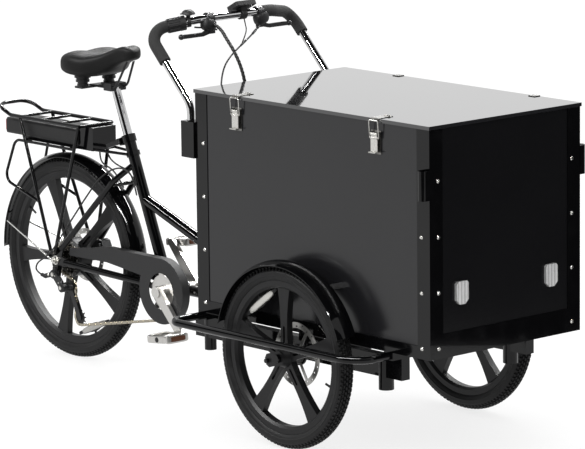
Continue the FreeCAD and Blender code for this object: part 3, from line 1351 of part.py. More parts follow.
def control_cables():
    bundle = control_route(BUNDLE_SETBACKS, BUNDLE_YS, BUNDLE_RISE_SHARES, BUNDLE_HOLE_Z, BUNDLE_BAR_DROP)
    thin = control_route(THIN_SETBACKS, THIN_YS, THIN_RISE_SHARES, THIN_HOLE_Z, THIN_BAR_DROP)
    return group([cable(bundle, BUNDLE_RADIUS), cable(thin, CABLE_RADIUS)])


def seat_axis(z):
    """The point of the seat tube's middle line at a height."""
    return from_rear(SEAT_FOOT_X - SEAT_LEAN * (z - SEAT_FOOT_Z), 0, z)


def on_seat_tube(shape, z):
    """A shape built round the Z line, set on the seat tube at a height."""
    shape.rotate(Vector(0, 0, 0), Vector(0, 1, 0), -math.degrees(math.atan(SEAT_LEAN)))
    shape.translate(seat_axis(z))
    return shape


def tapered_bar(start, end, start_radius, end_radius, ys):
    """A flat bar with round ends between two (x, z) points."""
    dx = end[0] - start[0]
    dz = end[1] - start[1]
    length = math.hypot(dx, dz)
    x, z = start
    outline = [(x, z - start_radius), (x + length, z - end_radius),
               ((x + length + end_radius, z), (x + length, z + end_radius)), (x, z + start_radius),
               ((x - start_radius, z), (x, z - start_radius))]
    return spun(plate_y(outline, min(ys), max(ys)), x, z, math.degrees(math.atan2(dz, dx)))


def dropout():
    """Right rear plate that joins the stays round the axle."""
    ys = (-DROPOUT_INNER, -DROPOUT_INNER - DROPOUT_THICK)
    axle = (REAR_X, REAR_TYRE_RADIUS)
    chain_end = (REAR_X + STAY_END_X, STAY_END_Z)
    seat_end = (REAR_X + SEAT_STAY_END_X, SEAT_STAY_END_Z)
    return [tapered_bar(axle, chain_end, DROPOUT_RADIUS, CHAIN_STAY_RADIUS * DROPOUT_END_SHARE, ys),
            tapered_bar(axle, seat_end, DROPOUT_RADIUS, SEAT_STAY_RADIUS * DROPOUT_END_SHARE, ys)]


def rear_stays():
    """Right chain stay and seat stay, without their dropout."""
    y = -DROPOUT_INNER - DROPOUT_THICK / 2
    chain_stay = rod(from_rear(BRACKET_X - SPINDLE_RADIUS, -CHAIN_STAY_FRONT_Y, BRACKET_Z),
                     from_rear(STAY_END_X, y, STAY_END_Z), CHAIN_STAY_RADIUS)
    top = seat_axis(SEAT_STAY_TOP_Z) - Vector(0, SEAT_STAY_RADIUS * SEAT_STAY_TOP_SHARE, 0)
    shoulder = from_rear(SEAT_STAY_SHOULDER_X, -SEAT_STAY_SHOULDER_Y, SEAT_STAY_SHOULDER_Z)
    end = from_rear(SEAT_STAY_END_X, y, SEAT_STAY_END_Z)
    seat_stay = bent_tube([top, shoulder, end], [SEAT_STAY_BEND], SEAT_STAY_RADIUS)
    return [chain_stay, seat_stay]


def main_frame():
    """Welded rear frame: head, main, lower and seat tubes, stays and dropouts."""
    head = rod(Vector(HEAD_X, 0, HEAD_BOTTOM_Z), Vector(HEAD_X, 0, HEAD_TOP_Z), HEAD_RADIUS)
    main = rod(seat_axis(MAIN_TUBE_SEAT_Z), Vector(HEAD_X, 0, MAIN_TUBE_HEAD_Z), MAIN_TUBE_RADIUS)
    lower = rod(seat_axis(SEAT_FOOT_Z), Vector(HEAD_X, 0, DOWN_TUBE_HEAD_Z), MAIN_TUBE_RADIUS)
    seat = rod(seat_axis(SEAT_FOOT_Z), seat_axis(SEAT_TUBE_TOP_Z), SEAT_TUBE_RADIUS)
    shell = rod(from_rear(BRACKET_X, -BRACKET_HALF, BRACKET_Z),
                from_rear(BRACKET_X, BRACKET_HALF, BRACKET_Z),
                BRACKET_RADIUS)
    hanger = tapered_bar((REAR_X, REAR_TYRE_RADIUS), (REAR_X + HANGER_X, HANGER_Z), DROPOUT_RADIUS,
                         DERAIL_KNUCKLE_RADIUS, (-DROPOUT_INNER, -DROPOUT_INNER - DROPOUT_THICK))
    share = (BRIDGE_Z - SEAT_STAY_END_Z) / (SEAT_STAY_SHOULDER_Z - SEAT_STAY_END_Z)
    bridge_x = SEAT_STAY_END_X + (SEAT_STAY_SHOULDER_X - SEAT_STAY_END_X) * share
    bridge = rod(from_rear(bridge_x, -SEAT_STAY_SHOULDER_Y, BRIDGE_Z),
                 from_rear(bridge_x, SEAT_STAY_SHOULDER_Y, BRIDGE_Z),
                 BRIDGE_RADIUS)
    plates = [fused(dropout() + [hanger]), mirrored(fused(dropout()))]
    stays = rear_stays()
    whole = fused([seat, main, lower, head, shell, bridge] + plates + stays
                  + [mirrored(stay) for stay in stays])
    seat_top = seat_axis(SEAT_TUBE_TOP_Z)
    reach = Vector(0, BRACKET_HALF + OVERRUN, 0)
    middle = from_rear(BRACKET_X, 0, BRACKET_Z)
    axle = from_rear(0, 0, REAR_TYRE_RADIUS)
    axle_reach = Vector(0, DROPOUT_INNER * 2, 0)
    return whole.cut([rod(seat_top - SEAT_UP * POST_BORE_DEPTH, seat_top + SEAT_UP,
                          POST_RADIUS + RUNNING_FIT),
                      rod(Vector(HEAD_X, 0, HEAD_BOTTOM_Z), Vector(HEAD_X, 0, HEAD_TOP_Z),
                          KINGPIN_RADIUS + RUNNING_FIT),
                      rod(middle - reach, middle + reach, SPINDLE_RADIUS + RUNNING_FIT),
                      rod(axle - axle_reach, axle + axle_reach, REAR_AXLE_RADIUS + RUNNING_FIT)])


def hexagon(x, z, radius):
    return [polar(x, z, radius, 60 * i) for i in range(6)]


def rear_axle():
    """Axle with a washer and a nut outside each dropout."""
    outside = DROPOUT_INNER + DROPOUT_THICK
    nut_start = outside + REAR_WASHER_THICK
    end = nut_start + REAR_NUT_LENGTH
    axle = rod(from_rear(0, -end, REAR_TYRE_RADIUS), from_rear(0, end, REAR_TYRE_RADIUS), REAR_AXLE_RADIUS)
    washer = rod(from_rear(0, -outside, REAR_TYRE_RADIUS), from_rear(0, -nut_start, REAR_TYRE_RADIUS),
                 REAR_WASHER_RADIUS)
    nut = plate_y(hexagon(REAR_X, REAR_TYRE_RADIUS, REAR_NUT_RADIUS), -end + OVERRUN, -nut_start)
    return fused([axle, washer, nut, mirrored(washer), mirrored(nut)])


def rear_caliper():
    """Caliper between the left stays, on an arm against the left dropout."""
    y = REAR_DISC_Y + DISC_THICK / 2
    body = brake_caliper(REAR_X, REAR_TYRE_RADIUS, REAR_DISC_RADIUS, y, REAR_CALIPER_ANGLE)
    half = CALIPER_ARM_THICK
    arm = block((REAR_X + DISC_HUB_RADIUS, REAR_X + REAR_DISC_RADIUS),
                (y + CALIPER_DEPTH / 2 - half, DROPOUT_INNER),
                (REAR_TYRE_RADIUS - half, REAR_TYRE_RADIUS + half))
    return fused([body, spun(arm, REAR_X, REAR_TYRE_RADIUS, REAR_CALIPER_ANGLE)])


def pitch_radius(teeth):
    return CHAIN_PITCH / 2 / math.sin(math.pi / teeth)


def sprocket(x, z, teeth, phase, ys):
    """Toothed disc; phase is the angle of one tooth space, in degrees."""
    radius = pitch_radius(teeth)
    root = radius - ROLLER_RADIUS - ROLLER_CLEARANCE
    tip = radius + TOOTH_HEIGHT
    step = 360 / teeth
    outline = []
    for i in range(teeth):
        middle = phase + step * i + step / 2
        for reach, share in ((root, -TOOTH_ROOT_SHARE), (tip, -TOOTH_TIP_SHARE), (tip, TOOTH_TIP_SHARE),
                             (root, TOOTH_ROOT_SHARE)):
            outline.append(polar(x, z, reach, middle + step * share))
    return plate_y(outline, min(ys), max(ys))


def chain_wheels():
    """The four toothed wheels in the order the chain meets them: x, z, teeth, sense."""
    return [(REAR_X + BRACKET_X, BRACKET_Z, RING_TEETH, 1),
            (REAR_X + TENSION_PULLEY_X, TENSION_PULLEY_Z, PULLEY_TEETH, 1),
            (REAR_X + GUIDE_PULLEY_X, GUIDE_PULLEY_Z, PULLEY_TEETH, -1),
            (REAR_X, REAR_TYRE_RADIUS, COG_TEETH[COG_CHAIN_INDEX], 1)]


def chain_tangent(first, second):
    """Angle of the normal of the chain's straight run between two wheels, in radians."""
    dx = second[0] - first[0]
    dz = second[1] - first[1]
    lift = first[3] * pitch_radius(first[2]) - second[3] * pitch_radius(second[2])
    return math.atan2(dz, dx) + math.acos(lift / math.hypot(dx, dz))


def chain_run(first, second):
    """Length of the straight run between two wheels."""
    reach = math.dist(first[:2], second[:2])
    lift = first[3] * pitch_radius(first[2]) - second[3] * pitch_radius(second[2])
    return math.sqrt(reach ** 2 - lift ** 2)


def chain_arcs():
    """For each wheel: where the chain arrives and leaves, rollers' angles, and bare arcs beside them.

    All are angles. The rollers are centred on the ring and the cog. On the pulleys they are set so that
    the short runs hold whole links; the two long runs take up the rest.
    """
    wheels = chain_wheels()
    arcs = [None] * len(wheels)
    for i in reversed(range(len(wheels))):
        wheel = wheels[i]
        following = (i + 1) % len(wheels)
        sense = wheel[3]
        flip = 0 if sense > 0 else math.pi
        arrive = chain_tangent(wheels[i - 1], wheel) + flip
        leave = chain_tangent(wheel, wheels[following]) + flip
        sweep = sense * (arrive - leave) % (2 * math.pi)
        step = 2 * math.pi / wheel[2]
        after = sweep % step / 2
        if wheel[2] == PULLEY_TEETH:
            bare = arcs[following][3] * pitch_radius(wheels[following][2])
            run = chain_run(wheel, wheels[following]) + bare
            after = -run % CHAIN_PITCH / pitch_radius(wheel[2])
        count = int((sweep - after) / step)
        before = sweep - after - count * step
        angles = [arrive - sense * (before + step * k) for k in range(count + 1)]
        arcs[i] = (arrive, arrive - sense * sweep, angles, before, after)
    return arcs


def chain_points():
    """Centres of the chain's rollers, in (x, z), all the way round."""
    wheels = chain_wheels()
    arcs = chain_arcs()
    points = []
    spans = []
    for i, (wheel, arc) in enumerate(zip(wheels, arcs)):
        j = (i + 1) % len(wheels)
        ends = (arc[4] * pitch_radius(wheel[2]), chain_run(wheel, wheels[j]),
                arcs[j][3] * pitch_radius(wheels[j][2]))
        spans.append([round(sum(ends) / CHAIN_PITCH), ends])
    total = sum(span[0] for span in spans) + sum(len(arc[2]) - 1 for arc in arcs)
    spans[0][0] += total % 2
    for i, (wheel, arc) in enumerate(zip(wheels, arcs)):
        j = (i + 1) % len(wheels)
        points.extend(polar(*wheel_place(wheel), math.degrees(angle)) for angle in arc[2])
        count, ends = spans[i]
        for k in range(1, count):
            points.append(span_point(wheel, arc, wheels[j], arcs[j], ends, sum(ends) * k / count))
    return points


def wheel_place(wheel):
    return wheel[0], wheel[1], pitch_radius(wheel[2])


def span_point(first, first_arc, second, second_arc, ends, distance):
    """A point at a distance along the path from one wheel's last roller to the next wheel's first."""
    if distance < ends[0]:
        turn = first_arc[2][-1] - first[3] * distance / pitch_radius(first[2])
        return polar(*wheel_place(first), math.degrees(turn))
    if distance > ends[0] + ends[1]:
        turn = second_arc[0] - second[3] * (distance - ends[0] - ends[1]) / pitch_radius(second[2])
        return polar(*wheel_place(second), math.degrees(turn))
    start = polar(*wheel_place(first), math.degrees(first_arc[1]))
    end = polar(*wheel_place(second), math.degrees(second_arc[0]))
    share = (distance - ends[0]) / ends[1]
    return (start[0] + (end[0] - start[0]) * share, start[1] + (end[1] - start[1]) * share)


def chain_phase(index):
    """Angle of a tooth space of one of the chain's wheels, in degrees."""
    return math.degrees(chain_arcs()[index][2][0])


def chain_link(start, end, near, far):
    """The two plates of a link between roller centres, at distances from the chain's middle plane."""
    half = math.dist(start, end) / 2
    tip = half + LINK_HALF_HEIGHT
    x = (start[0] + end[0]) / 2
    z = (start[1] + end[1]) / 2
    outline = [(x - tip, z), (x - half, z - LINK_HALF_HEIGHT), (x + half, z - LINK_HALF_HEIGHT),
               (x + tip, z),
               (x + half, z + LINK_HALF_HEIGHT), (x - half, z + LINK_HALF_HEIGHT)]
    angle = math.degrees(math.atan2(end[1] - start[1], end[0] - start[0]))
    plates = [plate_y(outline, -CHAIN_LINE - far, -CHAIN_LINE - near),
              plate_y(outline, near - CHAIN_LINE, far - CHAIN_LINE)]
    return [spun(plate, x, z, angle) for plate in plates]


def chain():
    """Roller chain: inner and outer links in turn, with a roller at each joint."""
    points = chain_points()
    pieces = []
    inner = LINK_INNER_GAP + LINK_PLATE
    for i, point in enumerate(points):
        following = points[(i + 1) % len(points)]
        if i % 2:
            pieces.extend(chain_link(point, following, inner, inner + LINK_PLATE))
        else:
            pieces.extend(chain_link(point, following, LINK_INNER_GAP, inner))
        pieces.append(plate_y(hexagon(point[0], point[1], ROLLER_RADIUS), -CHAIN_LINE - LINK_INNER_GAP,
                              LINK_INNER_GAP - CHAIN_LINE))
    return Part.makeCompound(pieces)


def cassette():
    """Seven sprockets on one driver that turns on the rear axle."""
    parts = []
    half = COG_THICK / 2
    for i, teeth in enumerate(COG_TEETH):
        y = (COG_CHAIN_INDEX - i) * COG_PITCH - CHAIN_LINE
        phase = chain_phase(3) if i == COG_CHAIN_INDEX else 0
        parts.append(sprocket(REAR_X, REAR_TYRE_RADIUS, teeth, phase, (y - half, y + half)))
    start = -MOTOR_HALF - SIDE_PLAY
    end = SIDE_PLAY - DROPOUT_INNER
    parts.append(rod(from_rear(0, start, REAR_TYRE_RADIUS), from_rear(0, end, REAR_TYRE_RADIUS),
                     COG_BORE_RADIUS))
    bore = rod(from_rear(0, start, REAR_TYRE_RADIUS), from_rear(0, end, REAR_TYRE_RADIUS),
               REAR_AXLE_RADIUS + RUNNING_FIT)
    return fused(parts).cut(bore)


def chainring():
    """Ring cut from a toothed disc, its arms and the disc behind the crank."""
    half = RING_THICK / 2
    ys = (-CHAIN_LINE - half, half - CHAIN_LINE)
    teeth = sprocket(CRANK_X, BRACKET_Z, RING_TEETH, chain_phase(0), ys)
    inside = pitch_radius(RING_TEETH) - ROLLER_RADIUS - RING_BODY_DEPTH
    hole = rod(Vector(CRANK_X, min(ys), BRACKET_Z), Vector(CRANK_X, max(ys), BRACKET_Z), inside)
    outer = min(ys) - SPIDER_THICK
    disc_plate = rod(Vector(CRANK_X, outer, BRACKET_Z), Vector(CRANK_X, max(ys), BRACKET_Z), SPIDER_RADIUS)
    wide = SPIDER_ARM_WIDTH / 2
    arm = block((CRANK_X, CRANK_X + inside + wide / 2), (outer, max(ys)),
                (BRACKET_Z - wide, BRACKET_Z + wide))
    arms = [spun(arm, CRANK_X, BRACKET_Z, CRANK_ANGLE + 360 / SPIDER_ARMS * i) for i in range(SPIDER_ARMS)]
    return [teeth.cut(hole), disc_plate] + arms


def crank_arm(angle, inner, outer):
    """A crank at an angle between two planes."""
    end = polar(CRANK_X, BRACKET_Z, CRANK_LENGTH, angle)
    return tapered_bar((CRANK_X, BRACKET_Z), end, CRANK_ROOT_RADIUS, CRANK_END_RADIUS, (inner, outer))


def pedal_place(angle):
    return polar(CRANK_X, BRACKET_Z, CRANK_LENGTH, angle)


def pedal_axle(angle, side):
    x, z = pedal_place(angle)
    start = side * CRANK_INNER
    end = side * (CRANK_INNER + CRANK_THICK + PEDAL_GAP + PEDAL_WIDTH - PEDAL_WALL)
    return rod(Vector(x, start, z), Vector(x, end, z), PEDAL_AXLE_RADIUS)


def crankset():
    """Spindle, both cranks with their pedal axles, and the chainring."""
    outer = CRANK_INNER + CRANK_THICK
    spindle = rod(Vector(CRANK_X, -outer, BRACKET_Z), Vector(CRANK_X, outer, BRACKET_Z), SPINDLE_RADIUS)
    boss = rod(Vector(CRANK_X, -outer - CRANK_CAP, BRACKET_Z), Vector(CRANK_X, -CHAIN_LINE, BRACKET_Z),
               CRANK_ROOT_RADIUS)
    far_boss = rod(Vector(CRANK_X, BRACKET_HALF + SIDE_PLAY, BRACKET_Z), Vector(CRANK_X, outer, BRACKET_Z),
                   CRANK_ROOT_RADIUS - CRANK_CAP)
    parts = [spindle, boss, far_boss, crank_arm(CRANK_ANGLE, -outer, -CRANK_INNER),
             crank_arm(CRANK_ANGLE + 180, CRANK_INNER, outer), pedal_axle(CRANK_ANGLE, -1),
             pedal_axle(CRANK_ANGLE + 180, 1)]
    return fused(parts + chainring())


def pedal(angle, side):
    """Cage pedal on its axle, with a reflector let into the front and back."""
    x, z = pedal_place(angle)
    near = CRANK_INNER + CRANK_THICK + PEDAL_GAP
    far = near + PEDAL_WIDTH
    ys = (side * near, side * far)
    half = PEDAL_LENGTH / 2
    tall = PEDAL_HEIGHT / 2
    frame = block((x - half, x + half), ys, (z - tall, z + tall))
    inside_ys = (side * (near + PEDAL_WALL), side * (far - PEDAL_WALL))
    inside = block((x - half + PEDAL_WALL, x + half - PEDAL_WALL), inside_ys,
                   (z - tall - OVERRUN, z + tall + OVERRUN))
    core = rod(Vector(x, ys[0], z), Vector(x, ys[1], z), PEDAL_CORE / 2)
    bore = rod(Vector(x, side * CRANK_INNER, z), Vector(x, inside_ys[1], z),
               PEDAL_AXLE_RADIUS + RUNNING_FIT)
    body = fused([frame.cut(inside), core]).cut(bore)
    middle = (ys[0] + ys[1]) / 2
    wide = PEDAL_WIDTH * PEDAL_LENS_SHARE / 2
    high = tall * PEDAL_LENS_SHARE
    lenses = [block((x + way * half, x + way * (half + PEDAL_LENS)), (middle - wide, middle + wide),
                    (z - high, z + high))
              for way in (-1, 1)]
    return spun(group([body] + lenses), x, z, PEDAL_TILT)


def case_outline(inset):
    """Outline of the chain case, drawn in by an inset."""
    radius = CASE_RADIUS - inset
    top = BRACKET_Z + radius
    low = polar(CRANK_X, BRACKET_Z, radius, CASE_LOW_ANGLE)
    around = polar(CRANK_X, BRACKET_Z, radius, CASE_EXIT_MIDDLE)
    return [(REAR_X + CASE_TAIL_X, CASE_TAIL_LOW_Z + inset),
            (REAR_X + CASE_TAIL_X, CASE_TAIL_TOP_Z - inset),
            (REAR_X + CASE_BACK_X, top), (CRANK_X, top),
            ((CRANK_X + radius, BRACKET_Z), (CRANK_X, BRACKET_Z - radius)),
            (around, low), (REAR_X + CASE_LOW_MID_X, CASE_LOW_MID_Z + inset)]


def chain_case():
    """Open-backed cover over the chain, held on the bottom bracket by a ring and an arm."""
    outer = -CASE_OUTER_Y
    back = outer + CASE_DEPTH
    face = outer + CASE_WALL
    tray = plate_y(case_outline(0), outer, back).cut(plate_y(case_outline(CASE_WALL), face, back))
    window = rod(Vector(CRANK_X, outer, BRACKET_Z), Vector(CRANK_X, face, BRACKET_Z), CASE_WINDOW_RADIUS)
    tail = block((REAR_X + CASE_TAIL_X - OVERRUN, REAR_X + CASE_RIM_START_X), (face, back),
                 (CASE_TAIL_LOW_Z - CASE_RADIUS, CASE_TAIL_TOP_Z + CASE_RADIUS))
    first, last = CASE_EXIT_ANGLES
    exit_space = turned([(CASE_RADIUS - CASE_WALL - AIR, face), (CASE_RADIUS + CASE_WALL, face),
                         (CASE_RADIUS + CASE_WALL, back), (CASE_RADIUS - CASE_WALL - AIR, back)],
                        CRANK_X, BRACKET_Z, first, last - first)
    shell = tray.cut([window, tail, exit_space])
    arm_ys = (back - CASE_WALL, back)
    ring = turned([(SPINDLE_RADIUS + AIR, arm_ys[0]), (CASE_RING_RADIUS, arm_ys[0]),
                   (CASE_RING_RADIUS, arm_ys[1]),
                   (SPINDLE_RADIUS + AIR, arm_ys[1])], CRANK_X, BRACKET_Z)
    wide = CASE_ARM_WIDTH / 2
    arm = block((CRANK_X + CASE_RING_RADIUS - wide, CRANK_X + CASE_RADIUS - CASE_WALL / 2), arm_ys,
                (BRACKET_Z - wide, BRACKET_Z + wide))
    arms = [spun(arm, CRANK_X, BRACKET_Z, angle) for angle in CASE_ARM_ANGLES]
    return fused([shell, ring] + arms)


def derailleur():
    """Fixed part of the gear changer: upper knuckle, link, lower knuckle and cable arm."""
    hung = (REAR_X + HANGER_X, HANGER_Z)
    guide = (REAR_X + GUIDE_PULLEY_X, GUIDE_PULLEY_Z)
    stop = (REAR_X + DERAIL_TAIL_X, DERAIL_TAIL_Z)
    inner = -DROPOUT_INNER - DROPOUT_THICK
    outer = inner - DERAIL_BODY_THICK
    link_ys = (inner - AIR, outer)
    upper = rod(Vector(hung[0], inner, hung[1]), Vector(hung[0], outer, hung[1]), DERAIL_KNUCKLE_RADIUS)
    cage_y = cage_outer_y()
    lower = rod(Vector(guide[0], cage_y - SIDE_PLAY, guide[1]), Vector(guide[0], outer, guide[1]),
                DERAIL_KNUCKLE_RADIUS)
    bore = rod(Vector(guide[0], cage_y, guide[1]), Vector(guide[0], inner, guide[1]),
               CAGE_PIVOT_RADIUS + RUNNING_FIT)
    link = tapered_bar(hung, guide, DERAIL_KNUCKLE_RADIUS, DERAIL_KNUCKLE_RADIUS, link_ys)
    tail = tapered_bar(hung, stop, DERAIL_KNUCKLE_RADIUS, DERAIL_TAIL_RADIUS, link_ys)
    return fused([upper, lower, link, tail]).cut(bore)


def cage_outer_y():
    """Outer face of the outer cage plate."""
    return -CHAIN_LINE - CAGE_HALF_GAP - CAGE_PLATE_THICK


def derailleur_cage():
    """Two plates that carry the pulleys, and the pivot in the lower knuckle."""
    guide = (REAR_X + GUIDE_PULLEY_X, GUIDE_PULLEY_Z)
    tension = (REAR_X + TENSION_PULLEY_X, TENSION_PULLEY_Z)
    outer = cage_outer_y()
    inner = -2 * CHAIN_LINE - outer
    wide = CAGE_WIDTH / 2
    plates = [tapered_bar(guide, tension, wide, wide, (outer, outer + CAGE_PLATE_THICK)),
              tapered_bar(guide, tension, wide, wide, (inner - CAGE_PLATE_THICK, inner))]
    bolts = [rod(Vector(x, outer, z), Vector(x, inner, z), PULLEY_BOLT_RADIUS) for x, z in (guide, tension)]
    pivot = rod(Vector(guide[0], outer, guide[1]),
                Vector(guide[0], SIDE_PLAY - DROPOUT_INNER - DROPOUT_THICK, guide[1]),
                CAGE_PIVOT_RADIUS)
    return fused(plates + bolts + [pivot])


def pulley(index):
    """Toothed pulley with a boss that keeps it between the cage plates."""
    x, z, teeth, _ = chain_wheels()[index]
    half = PULLEY_THICK / 2
    toothed = sprocket(x, z, teeth, chain_phase(index), (-CHAIN_LINE - half, half - CHAIN_LINE))
    reach = CAGE_HALF_GAP - SIDE_PLAY
    boss = rod(Vector(x, -CHAIN_LINE - reach, z), Vector(x, reach - CHAIN_LINE, z), PULLEY_BOLT_RADIUS * 2)
    bore = rod(Vector(x, -CHAIN_LINE - reach, z), Vector(x, reach - CHAIN_LINE, z),
               PULLEY_BOLT_RADIUS + RUNNING_FIT)
    return fused([toothed, boss]).cut(bore)


def rear_cables():
    return cable([from_rear(*point) for point in GEAR_ROUTE], CABLE_RADIUS)


def seat_clamp():
    """Collar at the top of the seat tube, with lugs behind it and the lever's fork."""
    low = -SEAT_COLLAR_HEIGHT
    collar = rod(Vector(0, 0, low), Vector(0, 0, 0), SEAT_COLLAR_RADIUS)
    half = SEAT_LUG_WIDTH / 2
    lug_x = -SEAT_COLLAR_RADIUS - SEAT_LUG_REACH
    lug = block((lug_x, 0), (-half, half), (low, 0))
    bore = rod(Vector(0, 0, low), Vector(0, 0, 0), SEAT_TUBE_RADIUS + RUNNING_FIT)
    slit = block((lug_x - OVERRUN, 0), (-AIR, AIR), (low, 0))
    pin_x, pin_y = qr_pin()
    middle = low / 2
    reach = QR_LEVER_WIDTH / 2 + SIDE_PLAY
    fork = [block((pin_x - QR_LEVER_THICK, pin_x + QR_LEVER_THICK), (pin_y - QR_PIN_RADIUS * 2, -half),
                  (middle + side * reach, middle + side * (reach + QR_CHEEK))) for side in (-1, 1)]
    pin = rod(Vector(pin_x, pin_y, middle - reach), Vector(pin_x, pin_y, middle + reach), QR_PIN_RADIUS)
    return on_seat_tube(fused([fused([collar, lug]).cut([bore, slit]), pin] + fork), SEAT_TUBE_TOP_Z)


def qr_pin():
    """Place of the lever's pin beside the collar, in the collar's own frame."""
    return (-SEAT_COLLAR_RADIUS - SEAT_LUG_REACH / 2, -SEAT_LUG_WIDTH / 2 - QR_LEVER_THICK - AIR)


def seat_clamp_lever():
    """Quick lever that points backwards when it is shut."""
    pin_x, pin_y = qr_pin()
    middle = -SEAT_COLLAR_HEIGHT / 2
    half = QR_LEVER_WIDTH / 2
    boss = rod(Vector(pin_x, pin_y, middle - half), Vector(pin_x, pin_y, middle + half), QR_LEVER_THICK)
    thick = QR_LEVER_THICK / 2
    end = pin_x - QR_LEVER_LENGTH
    blade = plate_z([(pin_x, pin_y - thick), (pin_x, pin_y + thick), (end, pin_y - thick),
                     (end, pin_y - QR_LEVER_THICK * 2)],
                    middle - half, middle + half)
    bore = rod(Vector(pin_x, pin_y, middle - half), Vector(pin_x, pin_y, middle + half),
               QR_PIN_RADIUS + RUNNING_FIT)
    return on_seat_tube(fused([boss, blade]).cut(bore), SEAT_TUBE_TOP_Z)


def seat_post():
    return rod(seat_axis(SEAT_TUBE_TOP_Z) - SEAT_UP * POST_INSERT, seat_axis(POST_TOP_Z), POST_RADIUS)


def saddle_frame():
    """Post clamp, rails and the two ribbed springs under the saddle."""
    top = seat_axis(POST_TOP_Z)
    half = SADDLE_CLAMP_SIZE / 2
    rail_z = POST_TOP_Z - SADDLE_RAIL_DROP
    reach = SADDLE_RAIL_Y + SADDLE_RAIL_RADIUS * 2
    clamp = block((top.x - half, top.x + half), (-reach, reach),
                  (rail_z - half / 2, POST_TOP_Z + SADDLE_CLAMP_CAP))
    socket = rod(top - SEAT_UP * SADDLE_CLAMP_SIZE * 2, top, POST_RADIUS + RUNNING_FIT)
    nose = from_rear(SADDLE_REAR_X + SADDLE_LENGTH * SADDLE_RAIL_NOSE_SHARE, -SADDLE_RAIL_Y / 2,
                     SADDLE_BASE_Z + SADDLE_RISE * SADDLE_RAIL_RISE_SHARE)
    rail = bent_tube([from_rear(SPRING_X, -SADDLE_RAIL_Y, rail_z),
                      from_rear(SADDLE_RAIL_BEND_X, -SADDLE_RAIL_Y, rail_z), nose],
                     [SADDLE_RAIL_BEND], SADDLE_RAIL_RADIUS)
    plate_top = rail_z
    foot = SPRING_RADIUS * SPRING_FOOT_SHARE
    plate = block((REAR_X + SPRING_X - foot, REAR_X + SPRING_X + foot), (-SPRING_Y - foot, SPRING_Y + foot),
                  (plate_top - SPRING_PLATE, plate_top))
    steps = 2 * SPRING_RIBS - 1
    spring_top = SADDLE_BASE_Z + SPRING_PLATE
    rise = (spring_top - plate_top) / steps
    outline = [(0, plate_top)]
    for i in range(steps):
        radius = foot + (SPRING_RADIUS - foot) * i / (steps - 1) - SPRING_GROOVE * (i % 2)
        outline.extend([(radius, plate_top + rise * i), (radius, plate_top + rise * (i + 1))])
    outline.append((0, spring_top))
    spring = turned_z(outline, REAR_X + SPRING_X, -SPRING_Y)
    return fused([clamp, plate, rail, mirrored(rail), spring, mirrored(spring)]).cut([socket, saddle()])


def saddle_section(x, half, base, rise):
    """Cross section of the saddle: flat below, round sides and a crowned top."""
    low = half * SADDLE_TUCK_SHARE
    edge = half * SADDLE_EDGE_SHARE
    outline = [(-low, base),
               ((-half, base + rise * SADDLE_BULGE_SHARE), (-edge, base + rise * SADDLE_SHOULDER_SHARE)),
               ((0, base + rise), (edge, base + rise * SADDLE_SHOULDER_SHARE)),
               ((half, base + rise * SADDLE_BULGE_SHARE), (low, base))]
    return closed_wire(outline, lambda p: Vector(x, p[0], p[1]))


def saddle():
    """Padded saddle lofted from its tail to its nose."""
    sections = []
    for length_share, width_share, base_share, top_share in SADDLE_SHARES:
        sections.append(saddle_section(REAR_X + SADDLE_REAR_X + SADDLE_LENGTH * length_share,
                                       SADDLE_HALF_WIDTH * width_share,
                                       SADDLE_BASE_Z + SADDLE_RISE * base_share,
                                       SADDLE_RISE * (top_share - base_share)))
    return Part.makeLoft(sections, True, False)


def leg_point(top_x, foot_x, foot_z, z):
    """The point of a right rack leg at a height."""
    share = (RACK_Z - z) / (RACK_Z - foot_z)
    return from_rear(top_x + (foot_x - top_x) * share,
                     -RACK_HALF_WIDTH - (RACK_LEG_Y - RACK_HALF_WIDTH) * share, z)


def rack_side():
    """Right legs and the side guard loop."""
    front = rod(leg_point(RACK_LEG_FRONT_X, RACK_FOOT_FRONT_X, RACK_FOOT_Z, RACK_Z),
                leg_point(RACK_LEG_FRONT_X, RACK_FOOT_FRONT_X, RACK_FOOT_Z, RACK_FOOT_Z), RACK_LEG_RADIUS)
    rear = rod(leg_point(RACK_LEG_REAR_X, RACK_FOOT_REAR_X, RACK_FOOT_Z, RACK_Z),
               leg_point(RACK_LEG_REAR_X, RACK_FOOT_REAR_X, RACK_FOOT_Z, RACK_FOOT_Z), RACK_LEG_RADIUS)
    start = leg_point(RACK_LEG_FRONT_X, RACK_FOOT_FRONT_X, RACK_FOOT_Z, RACK_GUARD_TOP_Z)
    end = leg_point(RACK_LEG_REAR_X, RACK_FOOT_REAR_X, RACK_FOOT_Z, RACK_GUARD_LOW_Z)
    loop = bent_tube([start, from_rear(RACK_GUARD_BACK_X, start.y, RACK_GUARD_TOP_Z),
                      from_rear(RACK_GUARD_TAIL_X, end.y, RACK_GUARD_TAIL_Z), end],
                     [RACK_GUARD_BEND, RACK_GUARD_BEND], RACK_GUARD_RADIUS)
    return [front, rear, loop]


